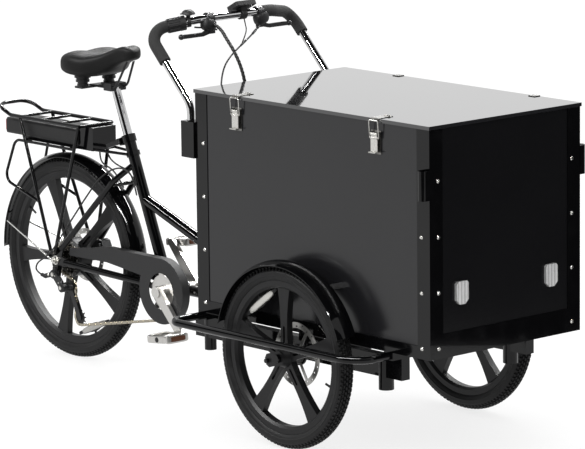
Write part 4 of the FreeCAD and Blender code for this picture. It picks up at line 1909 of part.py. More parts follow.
def rear_rack():
    """Rack over the rear wheel with the battery's tray and dock, clamped to the seat tube."""
    side = [from_rear(RACK_FRONT_X, -RACK_HALF_WIDTH, RACK_Z),
            from_rear(RACK_BACK_X, -RACK_HALF_WIDTH, RACK_Z),
            from_rear(RACK_TAIL_X, -RACK_HALF_WIDTH, RACK_Z + RACK_TAIL_RISE)]
    other = [Vector(point.x, -point.y, point.z) for point in side[::-1]]
    rails = bent_tube(side + other, [RACK_LOOP_BEND] * 4, RACK_TUBE_RADIUS)
    bars = []
    for share in RACK_CROSSBAR_SHARES:
        x = RACK_LEG_REAR_X + (RACK_FRONT_X - RACK_LEG_REAR_X) * share
        bars.append(rod(from_rear(x, -RACK_HALF_WIDTH, RACK_Z), from_rear(x, RACK_HALF_WIDTH, RACK_Z),
                        RACK_GUARD_RADIUS))
    battery_low = BATTERY_TOP_Z - BATTERY_HEIGHT
    tray_y = BATTERY_HALF_WIDTH - RACK_TUBE_RADIUS
    dock_start = REAR_X + BATTERY_TAIL_X + BATTERY_LENGTH + SIDE_PLAY
    dock_end = dock_start + DOCK_LENGTH
    tray = block((REAR_X + RACK_LEG_REAR_X, dock_end), (-tray_y, tray_y),
                 (RACK_GUARD_TOP_Z, battery_low - SIDE_PLAY))
    dock = block((dock_start, dock_end), (-tray_y, tray_y),
                 (RACK_GUARD_TOP_Z, RACK_Z - RACK_GUARD_RADIUS / 2))
    ties = []
    for x in TRAY_TIE_XS:
        start = leg_point(RACK_LEG_FRONT_X, RACK_FOOT_FRONT_X, RACK_FOOT_Z, RACK_GUARD_TOP_Z)
        ties.append(rod(Vector(REAR_X + x, start.y, RACK_GUARD_TOP_Z),
                        Vector(REAR_X + x, -start.y, RACK_GUARD_TOP_Z),
                        TRAY_TIE_RADIUS))
    ring_low = seat_axis(RACK_COLLAR_Z)
    ring_high = ring_low + SEAT_UP * RACK_COLLAR_HEIGHT
    ring = rod(ring_low, ring_high, SEAT_COLLAR_RADIUS)
    middle = (ring_low + ring_high) * 0.5
    arm_y = SEAT_TUBE_RADIUS + RACK_GUARD_RADIUS / 2
    arm = rod(middle - Vector(0, arm_y, 0),
              Vector(dock_end - OVERRUN, -arm_y * 2, RACK_GUARD_TOP_Z + RACK_GUARD_RADIUS),
              RACK_GUARD_RADIUS)
    reach = SEAT_UP * SEAT_COLLAR_RADIUS
    bore = rod(ring_low - reach, ring_high + reach, SEAT_TUBE_RADIUS + RUNNING_FIT)
    right = rack_side()
    pieces = [rails, tray, dock, ring, arm, mirrored(arm)] + bars + ties + right
    pieces += [mirrored(piece) for piece in right]
    return fused(pieces).cut(bore)


def battery():
    """Battery case with rounded long edges, and the red lens at its tail."""
    start = REAR_X + BATTERY_TAIL_X
    low = BATTERY_TOP_Z - BATTERY_HEIGHT
    half = BATTERY_HALF_WIDTH
    body = block((start + LAMP_LENGTH, start + BATTERY_LENGTH), (-half, half), (low, BATTERY_TOP_Z))
    long_edges = [edge for edge in body.Edges if abs(edge.tangentAt(0).x) > math.cos(math.pi / 4)]
    body = body.makeFillet(BATTERY_ROUND, long_edges)
    inset = BATTERY_ROUND
    lens = block((start, start + LAMP_LENGTH), (inset - half, half - inset),
                 (low + inset, BATTERY_TOP_Z - inset))
    return group([body, lens])


def nodes():
    """Every node of the assembly by name."""
    right_wheel = front_wheel()
    right_tyre = front_tyre()
    right_fittings = front_wheel_fittings()
    return {
        "box_sides": box_sides(), "box_end_panels": box_end_panels(), "box_floor": box_floor(),
        "corner_posts": corner_posts(), "bottom_rails": bottom_rails(), "box_screws": box_screws(),
        "front_reflectors": front_reflectors(), "box_fittings": box_fittings(),
        "chassis_frame": chassis_frame(), "wheel_guards": both_sides(wheel_guard()),
        "front_fenders": both_sides(front_fender()), "brake_calipers": both_sides(front_caliper()),
        "corner_sockets": corner_sockets(), "handlebar": handlebar(), "handlebar_grips": handlebar_grips(),
        "lever_brackets": group([lever_bracket(name) for name in LEVER_YS]),
        "display_unit": display_unit(), "bell": bell(), "control_cables": control_cables(),
        "lid_panel": lid_panel(), "lid_fittings": lid_fittings(),
        "latch_lever_front": latch_lever(LATCH_XS["front"]),
        "latch_lever_rear": latch_lever(LATCH_XS["rear"]),
        "latch_bail_front": latch_bail(LATCH_XS["front"]), "latch_bail_rear": latch_bail(LATCH_XS["rear"]),
        "front_wheel_right": right_wheel, "front_wheel_left": mirrored(right_wheel),
        "front_tyre_right": right_tyre, "front_tyre_left": mirrored(right_tyre),
        "wheel_fittings_right": right_fittings, "wheel_fittings_left": mirrored(right_fittings),
        "main_frame": main_frame(), "rear_rack": rear_rack(), "rear_fender": rear_fender(),
        "chain_case": chain_case(), "derailleur": derailleur(), "rear_axle": rear_axle(), "chain": chain(),
        "seat_clamp": seat_clamp(), "rear_cables": rear_cables(), "rear_caliper": rear_caliper(),
        "battery": battery(), "rear_wheel": rear_wheel(), "rear_tyre": tyre(REAR_X, REAR_TYRE_RADIUS),
        "wheel_fittings_rear": rear_wheel_fittings(), "cassette": cassette(), "crankset": crankset(),
        "pedal_right": pedal(CRANK_ANGLE, -1), "pedal_left": pedal(CRANK_ANGLE + 180, 1),
        "seat_post": seat_post(), "saddle": saddle(), "saddle_frame": saddle_frame(),
        "seat_clamp_lever": seat_clamp_lever(),
        "brake_lever_right": brake_lever("right", -1), "brake_lever_left": brake_lever("left", 1),
        "twist_shifter": twist_shifter(), "derailleur_cage": derailleur_cage(),
        "lower_pulley": pulley(1), "upper_pulley": pulley(2), "bell_lever": bell_lever(),
    }


def main():
    os.makedirs("parts", exist_ok=True)
    for name, shape in nodes().items():
        shape.exportStep("parts/" + name + ".step")
        print(name, len(shape.Solids), "solids", "ok" if shape.isValid() else "NOT VALID")


if __name__ == "__main__":
    main()
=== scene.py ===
"""Looks of a cargo tricycle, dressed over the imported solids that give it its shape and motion."""

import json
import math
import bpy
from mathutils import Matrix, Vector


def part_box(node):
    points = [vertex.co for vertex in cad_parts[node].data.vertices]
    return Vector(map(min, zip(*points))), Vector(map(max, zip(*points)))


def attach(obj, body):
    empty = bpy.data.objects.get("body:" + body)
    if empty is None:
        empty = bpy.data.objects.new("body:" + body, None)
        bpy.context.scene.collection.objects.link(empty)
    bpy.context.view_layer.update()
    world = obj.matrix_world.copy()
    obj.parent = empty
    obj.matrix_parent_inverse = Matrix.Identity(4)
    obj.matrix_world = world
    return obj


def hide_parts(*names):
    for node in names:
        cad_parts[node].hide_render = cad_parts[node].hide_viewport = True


bl_info = {
    "name": "Cargo tricycle",
    "version": (1, 0, 0),
    "blender": (4, 5, 0),
    "location": "3D View > Sidebar > Tricycle",
    "description": "Builds the finishes, tyres, saddle, cables and small fittings of a cargo tricycle",
    "category": "Object",
}

import bpy
import numpy as np
from bpy.props import FloatProperty, FloatVectorProperty, PointerProperty
from mathutils import Matrix

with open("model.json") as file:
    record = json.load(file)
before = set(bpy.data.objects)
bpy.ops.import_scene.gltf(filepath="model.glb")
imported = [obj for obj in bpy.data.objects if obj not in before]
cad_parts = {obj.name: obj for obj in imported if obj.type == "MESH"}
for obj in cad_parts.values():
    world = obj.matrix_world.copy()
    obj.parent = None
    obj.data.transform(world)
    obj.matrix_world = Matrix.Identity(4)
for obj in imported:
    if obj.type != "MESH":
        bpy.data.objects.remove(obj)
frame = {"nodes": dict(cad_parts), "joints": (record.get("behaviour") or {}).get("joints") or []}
NODES = frame["nodes"]
JOINTS = {joint["name"]: joint for joint in frame["joints"]}
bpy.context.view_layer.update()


def spot(joint):
    """A joint's place in metres."""
    return np.array(JOINTS[joint]["pos_m"])


FRONT_RIGHT = spot("front_wheel_right")
FRONT_LEFT = spot("front_wheel_left")
REAR = spot("rear_wheel")

# Half width of the edge between two finishes, in metres
EDGE = 0.0001

# Places on the pieces where a finish changes, in metres and degrees, squares in square metres
WIRE_GAP = 0.0085
WIRE_SOFT = 0.0005
DISC_LIMIT = 0.106
LAMP_DEPTH = 0.0120
DISPLAY_TILT = 28.0
GLASS_DROP = 0.0174
GLASS_LEVEL = 0.0058
GLASS_HALF_LENGTH = 0.0186
GLASS_HALF_WIDTH = 0.0316
PEDAL_LEAN = 6.0
PEDAL_LENS_FACE = 0.0460
PEDAL_LENS_HALF = 0.0269
PEDAL_CAP_FACE = 0.0409
PEDAL_CAP_SQUARES = (0.000060, 0.000066)


class FinishSettings(bpy.types.PropertyGroup):
    """Colours of the main finishes."""

    paint: FloatVectorProperty(name="Paint", description="Gloss paint of the frame", subtype="COLOR",
                               default=(0.002, 0.002, 0.0023))
    board: FloatVectorProperty(name="Board", description="Faced board of the box", subtype="COLOR",
                               default=(0.008, 0.008, 0.009))
    rubber: FloatVectorProperty(name="Rubber", description="Tyre rubber", subtype="COLOR",
                                default=(0.0045, 0.0045, 0.0048))
    plastic: FloatVectorProperty(name="Plastic", description="Moulded covers", subtype="COLOR",
                                 default=(0.009, 0.009, 0.0095))
    alloy: FloatVectorProperty(name="Alloy", description="Bright cranks and pedals", subtype="COLOR",
                               default=(0.56, 0.55, 0.53))
    leather: FloatVectorProperty(name="Saddle cover", description="Cover of the saddle", subtype="COLOR",
                                 default=(0.006, 0.006, 0.006))


class TyreSettings(bpy.types.PropertyGroup):
    """Shape of the tyres' tread."""

    tread: FloatProperty(name="Tread depth", description="Height of a knob", unit="LENGTH", default=0.0046)
    pitch: FloatProperty(name="Knob pitch", description="Space from one knob to the next", unit="LENGTH",
                         default=0.0140)
    width: FloatProperty(name="Width", description="Width over the sides", unit="LENGTH", default=0.050)
    depth: FloatProperty(name="Depth", description="Height from rim edge to tread", unit="LENGTH",
                         default=0.042)


class SaddleSettings(bpy.types.PropertyGroup):
    """Shape of the saddle's cover."""

    channel: FloatProperty(name="Channel", description="Depth of the groove along the top", unit="LENGTH",
                           default=0.007)


class CableSettings(bpy.types.PropertyGroup):
    """Sizes of the cables."""

    bundle: FloatProperty(name="Bundle", description="Radius of the wrapped bundle", unit="LENGTH",
                          default=0.0050)
    sleeve: FloatProperty(name="Sleeve", description="Radius of one cable's sleeve", unit="LENGTH",
                          default=0.0025)
    lead: FloatProperty(name="Lead", description="Radius of the thin leads", unit="LENGTH", default=0.0018)
    power: FloatProperty(name="Power", description="Radius of the battery's leads", unit="LENGTH",
                         default=0.00252)


class StageSettings(bpy.types.PropertyGroup):
    """Light and floor."""

    floor: FloatVectorProperty(name="Floor", description="Colour of the floor", subtype="COLOR",
                               default=(0.93, 0.93, 0.93))
    sky: FloatProperty(name="Sky", description="Strength of the soft light all round", default=1.0)
    key: FloatProperty(name="Key", description="Power of the large light", unit="POWER", default=90.0)
    strip: FloatProperty(name="Strips", description="Power of the two strips that draw highlights",
                         unit="POWER", default=320.0)


class Wire:
    """An output socket whose arithmetic adds Math nodes."""

    def __init__(self, finish, socket):
        self.finish = finish
        self.socket = socket

    def maths(self, operation, *values):
        return self.finish.node("Math", {"operation": operation}, dict(enumerate(values)))

    def __add__(self, other):
        return self.maths("ADD", self, other)

    __radd__ = __add__

    def __sub__(self, other):
        return self.maths("SUBTRACT", self, other)

    def __rsub__(self, other):
        return self.maths("SUBTRACT", other, self)

    def __mul__(self, other):
        return self.maths("MULTIPLY", self, other)

    __rmul__ = __mul__

    def __pow__(self, other):
        return self.maths("POWER", self, other)

    def between(self, low, high):
        """Rises smoothly from 0 at low to 1 at high."""
        return self.finish.node("MapRange", {"interpolation_type": "SMOOTHSTEP"},
                                {"Value": self, "From Min": low, "From Max": high})

    def past(self, limit, soft=EDGE):
        """Rises from 0 to 1 over a narrow edge at a limit."""
        return self.between(limit - soft, limit + soft)

    def over(self, limit):
        return self.maths("GREATER_THAN", self, limit)

    def size(self):
        return self.maths("ABSOLUTE", self)


class Finish:
    """A material on the Principled shader, with its nodes made by one method."""

    def __init__(self, name, **sockets):
        self.material = bpy.data.materials.new(name)
        self.material.use_nodes = True
        self.tree = self.material.node_tree
        self.shader = self.tree.nodes["Principled BSDF"]
        self.set(**{"specular_ior_level": 0.26, **sockets})

    def node(self, kind, settings=None, inputs=None, output=0):
        """Adds a shader node: its settings first, then the values or links of its sockets."""
        node = self.tree.nodes.new("ShaderNode" + kind)
        for key, value in (settings or {}).items():
            setattr(node, key, value)
        for key, value in (inputs or {}).items():
            self.feed(node.inputs[key], value)
        return Wire(self, node.outputs[output])

    def feed(self, socket, value):
        if isinstance(value, Wire):
            self.tree.links.new(value.socket, socket)
        elif socket.type == "RGBA" and len(value) == 3:
            socket.default_value = tuple(value) + (1.0,)
        else:
            socket.default_value = value

    def set(self, **sockets):
        for key, value in sockets.items():
            self.feed(self.shader.inputs[key.replace("_", " ").title().replace("Ior", "IOR")], value)
        return self

    def place(self):
        """Object coordinates, which are the object's own frame in metres."""
        return self.node("TexCoord", output="Object")

    def xyz(self):
        place = self.place()
        return [self.node("SeparateXYZ", None, {0: place}, axis) for axis in range(3)]

    def noise(self, scale, detail=3.0, stretch=None):
        """Noise from 0 to 1; stretch scales it along each axis."""
        where = self.place()
        if stretch:
            where = self.node("Mapping", None, {"Vector": where, "Scale": stretch})
        return self.node("TexNoise", None, {"Vector": where, "Scale": scale, "Detail": detail})

    def cells(self, scale):
        """Distance from the middle of the nearest cell, from 0."""
        return self.node("TexVoronoi", None, {"Vector": self.place(), "Scale": scale}, "Distance")

    def mix(self, share, first, second):
        """Colour that goes from first to second as share goes from 0 to 1."""
        return self.node("Mix", {"data_type": "RGBA"}, {0: share, 6: first, 7: second}, 2)

    def bump(self, height, depth):
        """Feeds the shader's normal from a height of 0 to 1 that stands for depth metres."""
        normal = self.node("Bump", None, {"Strength": 1.0, "Distance": depth, "Height": height})
        return self.set(normal=normal)

    def reach(self, centre):
        """Distance from an axle along Y, in metres."""
        x, _, z = self.xyz()
        return ((x - float(centre[0])) ** 2 + (z - float(centre[2])) ** 2) ** 0.5


def colours():
    return bpy.context.scene.tricycle_finish


def gloss_paint(name="gloss_paint", bright=None):
    """Black powder coat: a clear skin with a faint orange peel and a little dust.

    bright gives an axle and a reach: metal nearer to the axle than that is plated wire, not painted."""
    finish = Finish(name, coat_roughness=0.02, specular_ior_level=0.12)
    dust = finish.noise(scale=14.0, detail=5.0).between(0.45, 0.8)
    base = colours().paint
    paint = finish.mix(dust * 0.5, base, [c * 1.9 + 0.001 for c in base])
    rough = 0.06 + dust * 0.10
    if bright:
        axle, limit = bright
        wire = 1.0 - finish.reach(axle).past(limit, WIRE_SOFT)
        paint = finish.mix(wire, paint, (0.60, 0.60, 0.58))
        finish.set(metallic=wire, coat_weight=(1.0 - wire) * 0.25)
        rough = rough + wire * 0.16
    else:
        finish.set(coat_weight=0.25)
    finish.set(base_color=paint, roughness=rough)
    return finish.bump(finish.noise(scale=260.0, detail=2.0), depth=0.00006)


def faced_board(name="faced_board", sheen=0.36, painted_shade=1.0):
    """Film-faced board: satin, with the fine pebble of the film and a slow change of sheen. A shade below one
    darkens its colour as painted shade, for panels that sit darker in the light.
    """
    finish = Finish(name, specular_ior_level=sheen)
    slow = finish.noise(scale=3.0, detail=3.0)
    base = [c * painted_shade for c in colours().board]
    finish.set(base_color=finish.mix(slow, base, [c * 1.5 for c in base]), roughness=0.17 + slow * 0.06)
    return finish.bump(finish.noise(scale=700.0, detail=2.0), depth=0.00003)


def gloss_lid(name="gloss_lid"):
    """Lid board: glossy, with faint wiping marks along its length."""
    finish = Finish(name, coat_weight=0.8, coat_roughness=0.02, specular_ior_level=0.5)
    wipes = finish.noise(scale=5.0, detail=4.0, stretch=(1.0, 9.0, 1.0))
    base = colours().board
    finish.set(base_color=finish.mix(wipes, base, [c * 1.6 for c in base]), roughness=0.03 + wipes * 0.04)
    return finish.bump(finish.noise(scale=40.0, detail=2.0), depth=0.00002)


def cast_black(name="cast_black"):
    """Painted casting: satin black with the grain of the mould under the paint."""
    finish = Finish(name, specular_ior_level=0.2)
    grain = finish.noise(scale=420.0, detail=3.0)
    tint = finish.noise(scale=20.0, detail=3.0)
    finish.set(base_color=finish.mix(tint, (0.006, 0.006, 0.0065), (0.010, 0.010, 0.0105)),
               roughness=0.34 + grain * 0.12)
    return finish.bump(grain, depth=0.00010)


def tyre_rubber(name="tyre_rubber"):
    """Rubber: matte, greyer where dust stays in the tread, with a fine grain."""
    finish = Finish(name, specular_ior_level=0.2)
    base = colours().rubber
    dust = finish.noise(scale=30.0, detail=5.0).between(0.4, 0.75)
    finish.set(base_color=finish.mix(dust, base, [c * 1.7 + 0.002 for c in base]),
               roughness=0.46 + dust * 0.2)
    return finish.bump(finish.noise(scale=900.0, detail=2.0), depth=0.00012)


def bright_steel(name="bright_steel", tint=(0.62, 0.61, 0.58), stretch=(1.0, 1.0, 12.0)):
    """Plated steel: drawn lines along one axis and a slow change of sheen."""
    finish = Finish(name, metallic=1.0)
    lines = finish.noise(scale=180.0, detail=3.0, stretch=stretch)
    finish.set(base_color=finish.mix(lines, [c * 0.8 for c in tint], tint), roughness=0.20 + lines * 0.14)
    return finish.bump(lines, depth=0.00003)


def chrome(name="chrome"):
    """Polished chrome: a mirror with a trace of haze."""
    finish = Finish(name, metallic=1.0)
    haze = finish.noise(scale=22.0, detail=4.0)
    return finish.set(base_color=finish.mix(haze, (0.50, 0.50, 0.51), (0.58, 0.58, 0.58)),
                      roughness=0.03 + haze * 0.05)


def polished_alloy(name="polished_alloy"):
    """Alloy: brushed along the part, with a soft sheen."""
    finish = Finish(name, metallic=1.0)
    base = colours().alloy
    grain = finish.noise(scale=90.0, detail=4.0, stretch=(3.0, 1.0, 3.0))
    finish.set(base_color=finish.mix(grain, [c * 0.82 for c in base], base), roughness=0.24 + grain * 0.16)
    return finish.bump(grain, depth=0.00004)


def black_alloy(name="black_alloy"):
    """Black anodised alloy: a dull sheen that catches light along its edges."""
    finish = Finish(name, metallic=0.4)
    grain = finish.noise(scale=320.0, detail=3.0)
    finish.set(base_color=finish.mix(grain, (0.016, 0.016, 0.017), (0.030, 0.030, 0.031)),
               roughness=0.30 + grain * 0.14)
    return finish.bump(grain, depth=0.00004)


def moulded_plastic(name="moulded_plastic", lift=1.0):
    """Moulded plastic: matte, with a sparked grain."""
    finish = Finish(name)
    base = [c * lift for c in colours().plastic]
    grain = finish.cells(scale=900.0)
    finish.set(base_color=finish.mix(finish.noise(scale=12.0), base, [c * 1.35 for c in base]),
               roughness=0.44 + grain * 0.2)
    return finish.bump(grain, depth=0.00006)


def display_case(name="display_case"):
    """Display: sparked plastic with a sheet of dark glass let into its tilted top."""
    finish = Finish(name)
    low, high = (np.array(corner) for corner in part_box("display_unit"))
    x, y, z = finish.xyz()
    tilt = math.radians(DISPLAY_TILT)
    middle = (low + high) / 2
    top = high[2] - GLASS_DROP
    up = (z - float(top)) * math.cos(tilt) - (x - float(middle[0])) * math.sin(tilt)
    along = (x - float(middle[0])) * math.cos(tilt) + (z - float(top)) * math.sin(tilt)
    side = y - float(middle[1])
    glass = up.over(GLASS_LEVEL) * (1.0 - along.size().past(GLASS_HALF_LENGTH))
    glass = glass * (1.0 - side.size().past(GLASS_HALF_WIDTH))
    base = colours().plastic
    grain = finish.cells(scale=900.0)
    finish.set(base_color=finish.mix(glass, base, (0.010, 0.013, 0.016)),
               roughness=(0.46 + grain * 0.2) * (1.0 - glass) + 0.06, coat_weight=glass)
    return finish.bump(grain * (1.0 - glass), depth=0.00006)


def grip_foam(name="grip_foam"):
    """Foam grip: dull, with open cells."""
    finish = Finish(name)
    cells = finish.cells(scale=700.0)
    finish.set(base_color=finish.mix(cells, (0.010, 0.010, 0.010), (0.028, 0.028, 0.028)), roughness=0.86)
    return finish.bump(cells, depth=0.00030)


def cable_sleeve(name="cable_sleeve"):
    """Plastic sleeve: a soft sheen with small scuffs."""
    finish = Finish(name)
    scuffs = finish.noise(scale=160.0, detail=4.0)
    return finish.set(base_color=finish.mix(scuffs, (0.008, 0.008, 0.008), (0.020, 0.020, 0.020)),
                      roughness=0.34 + scuffs * 0.2)


def saddle_cover(name="saddle_cover"):
    """Synthetic leather: a pebbled grain with a dull sheen."""
    finish = Finish(name, specular_ior_level=0.12)
    pebbles = finish.cells(scale=420.0)
    wear = finish.noise(scale=9.0, detail=4.0)
    base = colours().leather
    finish.set(base_color=finish.mix(wear, base, [c * 1.8 for c in base]), roughness=0.44 + pebbles * 0.12)
    return finish.bump(pebbles, depth=0.00016)


def prisms(finish, scale=330.0):
    """Height of a reflector's small prisms, in 0 to 1."""
    return 1.0 - finish.cells(scale)


def reflector_lens(name, tint):
    """Reflector: a clear skin over upright ribs of small bright prisms."""
    finish = Finish(name, coat_weight=1.0, coat_roughness=0.04, metallic=0.6)
    facets = prisms(finish)
    _, y, _ = finish.xyz()
    ribs = 0.5 + 0.5 * y.maths("SINE", y * 520.0)
    finish.set(base_color=finish.mix(ribs * 0.7 + facets * 0.3, [c * 0.5 for c in tint], tint),
               roughness=0.16 + facets * 0.12)
    return finish.bump(ribs * 0.6 + facets * 0.4, depth=0.0012)


def wheel_fitting(name, centre):
    """Brake disc near the axle in ground steel; valve and reflector's back near the rim in black plastic."""
    finish = Finish(name)
    reach = finish.reach(centre)
    black = reach.past(DISC_LIMIT, 0.001)
    turned = finish.node("TexNoise", {"noise_dimensions": "1D"},
                         {"W": reach, "Scale": 2600.0, "Detail": 2.0})
    steel = finish.mix(turned, (0.30, 0.30, 0.29), (0.46, 0.45, 0.43))
    grain = finish.cells(scale=900.0)
    finish.set(base_color=finish.mix(black, steel, (0.009, 0.009, 0.009)), metallic=(1.0 - black) * 0.9,
               roughness=0.26 + turned * 0.1 + black * 0.2)
    return finish.bump(grain * black, depth=0.00006)


def pedal_metal(name, centre):
    """Bright pedal cage with a dark axle cap and amber lenses front and back."""
    finish = Finish(name)
    x, y, z = finish.xyz()
    lean = math.radians(PEDAL_LEAN)
    along = (x - float(centre[0])) * math.cos(lean) + (z - float(centre[2])) * math.sin(lean)
    rise = (z - float(centre[2])) * math.cos(lean) - (x - float(centre[0])) * math.sin(lean)
    across = (y - float(centre[1])).size()
    amber = along.size().past(PEDAL_LENS_FACE) * (1.0 - across.past(PEDAL_LENS_HALF))
    dark = (1.0 - (along ** 2 + rise ** 2).between(*PEDAL_CAP_SQUARES)) * across.past(PEDAL_CAP_FACE)
    grain = finish.noise(scale=120.0, detail=4.0)
    base = colours().alloy
    metal = finish.mix(dark, finish.mix(grain, [c * 0.7 for c in base], base), (0.012, 0.012, 0.012))
    finish.set(base_color=finish.mix(amber, metal, (0.085, 0.026, 0.008)),
               metallic=(1.0 - amber) * (1.0 - dark), roughness=0.24 + grain * 0.16 + dark * 0.3)
    return finish.bump(prisms(finish) * amber, depth=0.0005)


def battery_case(name="battery_case"):
    """Battery: sparked black plastic, with a red lens at its tail."""
    finish = Finish(name)
    x, _, _ = finish.xyz()
    tail = float(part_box("battery")[0][0])
    red = 1.0 - (x - tail).past(LAMP_DEPTH)
    base = colours().plastic
    grain = finish.cells(scale=900.0)
    finish.set(base_color=finish.mix(red, base, (0.36, 0.006, 0.008)),
               roughness=0.40 + grain * 0.16 - red * 0.25)
    return finish.bump(grain * (1.0 - red), depth=0.00006)


def smooth_curve(places, values, at):
    """Values at places joined by a smooth curve: cubic pieces whose slopes come from the neighbours."""
    x = np.asarray(places, float)
    y = np.asarray(values, float)
    slope = np.gradient(y, x)
    i = np.clip(np.searchsorted(x, at) - 1, 0, len(x) - 2)
    h = x[i + 1] - x[i]
    t = (at - x[i]) / h
    return ((1 + 2 * t) * (1 - t) ** 2 * y[i] + t * (1 - t) ** 2 * h * slope[i]
            + t ** 2 * (3 - 2 * t) * y[i + 1] - t ** 2 * (1 - t) * h * slope[i + 1])


def grid_faces(rows, columns, wrap_rows=False):
    """Quads between neighbours in a grid of rings; the last ring meets the first where it wraps."""
    r = np.arange(rows if wrap_rows else rows - 1)
    r, c = np.meshgrid(r, np.arange(columns), indexing="ij")
    across = (c + 1) % columns
    down = (r + 1) % rows
    here = r * columns
    there = down * columns
    quads = np.stack([here + c, here + across, there + across, there + c], -1)
    return quads.reshape(-1, 4)


# Angles in degrees past which an edge is sharp, on hard pieces and on soft ones
SHARP_ANGLE = 40.0
SOFT_ANGLE = 80.0


def end_caps(rows, columns):
    """Flat faces over the first and the last row of a grid."""
    return [list(range(columns))[::-1], list(range((rows - 1) * columns, rows * columns))]


def grid_mesh(name, points, wrap_rows=False, sharp=SHARP_ANGLE):
    """Mesh over points[row, column], with flat ends where its rows do not wrap."""
    rows, columns = points.shape[:2]
    faces = grid_faces(rows, columns, wrap_rows).tolist()
    if not wrap_rows:
        faces += end_caps(rows, columns)
    return face_mesh(name, points.reshape(-1, 3), faces, sharp)


def face_mesh(name, points, faces, sharp=SHARP_ANGLE):
    """Mesh with its faces turned outwards and its edges sharp past an angle."""
    mesh = bpy.data.meshes.new(name)
    mesh.from_pydata(points.tolist(), [], faces)
    mesh.update()
    if signed_volume(mesh) < 0:
        mesh.flip_normals()
    mesh.polygons.foreach_set("use_smooth", np.ones(len(mesh.polygons), bool))
    mesh.set_sharp_from_angle(angle=math.radians(sharp))
    return mesh


def signed_volume(mesh):
    """Six times the volume inside the faces, below 0 where they point inwards."""
    mesh.calc_loop_triangles()
    corners = np.empty(len(mesh.loop_triangles) * 3, int)
    mesh.loop_triangles.foreach_get("vertices", corners)
    points = np.empty(len(mesh.vertices) * 3)
    mesh.vertices.foreach_get("co", points)
    a, b, c = points.reshape(-1, 3)[corners.reshape(-1, 3)].transpose(1, 0, 2)
    return float(np.einsum("ij,ij->", a, np.cross(b, c)))


def add_piece(name, mesh, body, finish):
    """Object at the origin that rides on a body and takes a finish."""
    piece = bpy.data.objects.new(name, mesh)
    bpy.context.scene.collection.objects.link(piece)
    mesh.materials.append(finish.material)
    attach(piece, body)
    return piece


def joined(parts):
    """Points and faces of several (points, faces) pairs as one pair."""
    points, faces, start = [], [], 0
    for some_points, some_faces in parts:
        points.append(some_points)
        faces.extend([[i + start for i in face] for face in some_faces])
        start += len(some_points)
    return np.concatenate(points), faces


def tube(path, radius, sides=12):
    """Points and faces of a tube: circles square to a path, with a frame carried along it unturned."""
    path = np.asarray(path, float)
    ahead = np.gradient(path, axis=0)
    ahead /= np.linalg.norm(ahead, axis=1)[:, None]
    across = np.empty_like(path)
    side = np.cross(ahead[0], (0.0, 0.0, 1.0) if abs(ahead[0][2]) < 0.9 else (1.0, 0.0, 0.0))
    for i, way in enumerate(ahead):
        side = side - way * side.dot(way)
        side /= np.linalg.norm(side)
        across[i] = side
    other = np.cross(ahead, across)
    turn = np.linspace(0, 2 * np.pi, sides, endpoint=False)
    if np.ndim(radius) < 2:
        radius = np.broadcast_to(np.reshape(radius, (-1, 1)), (len(path), sides))
    points = path[:, None] + radius[..., None] * (np.cos(turn)[:, None] * across[:, None]
                                                  + np.sin(turn)[:, None] * other[:, None])
    faces = grid_faces(len(path), sides).tolist() + end_caps(len(path), sides)
    return points.reshape(-1, 3), faces


def route_line(route, steps=12):
    """Points along a smooth curve that a route's points control."""
    curve = bpy.data.curves.new("route", "CURVE")
    curve.dimensions = "3D"
    curve.resolution_u = steps
    spline = curve.splines.new("NURBS")
    spline.points.add(len(route) - 1)
    spline.points.foreach_set("co", np.c_[np.array(route), np.ones(len(route))].ravel())
    spline.order_u = 3
    spline.use_endpoint_u = True
    holder = bpy.data.objects.new("route", curve)
    line = bpy.data.meshes.new_from_object(holder)
    points = np.empty(len(line.vertices) * 3)
    line.vertices.foreach_get("co", points)
    bpy.data.objects.remove(holder)
    bpy.data.curves.remove(curve)
    bpy.data.meshes.remove(line)
    return points.reshape(-1, 3)


def evenly(points, step):
    """Points set out again at an even step along their line."""
    along = np.r_[0, np.cumsum(np.linalg.norm(np.diff(points, axis=0), axis=1))]
    marks = np.linspace(0, along[-1], max(int(along[-1] / step), 4))
    return np.stack([np.interp(marks, along, points[:, axis]) for axis in range(3)], 1)


def window(value, half, soft):
    """1 inside half of zero, falling to 0 over a soft edge."""
    return np.clip((half - np.abs(value)) / soft + 0.5, 0, 1)


# Tyre sections: angles of the flank's points and the crown's first, last and count, up from the axle's line
FLANK_ANGLES = (-42, -30, -18, -12, -11, -7, -6, 2, 10, 16, 17, 20, 21, 26)
CROWN_ANGLES = (30, 90, 22)
# Rows of knobs: degrees from the crown, half width in degrees, shift along the row in pitches, sense of the
# slant, then half length and soft end in pitches
KNOB_ROWS = ((0, 7.5, 0.0, 0, 0.40, 0.16), (20, 7.5, 0.5, -1, 0.36, 0.16), (36, 6.5, 0.0, 1, 0.34, 0.16),
             (54, 8.0, 0.5, 0, 0.30, 0.10))
KNOB_STEPS = 6
KNOB_SOFT = 3
KNOB_SLANT = 0.0018
TREAD_ANGLE = 64
FLANK_DROP = 0.0011
RING_ANGLES = (73.5, 98.5)
RING_WIDTH = (2.6, 1)
RING_HEIGHT = 0.0006


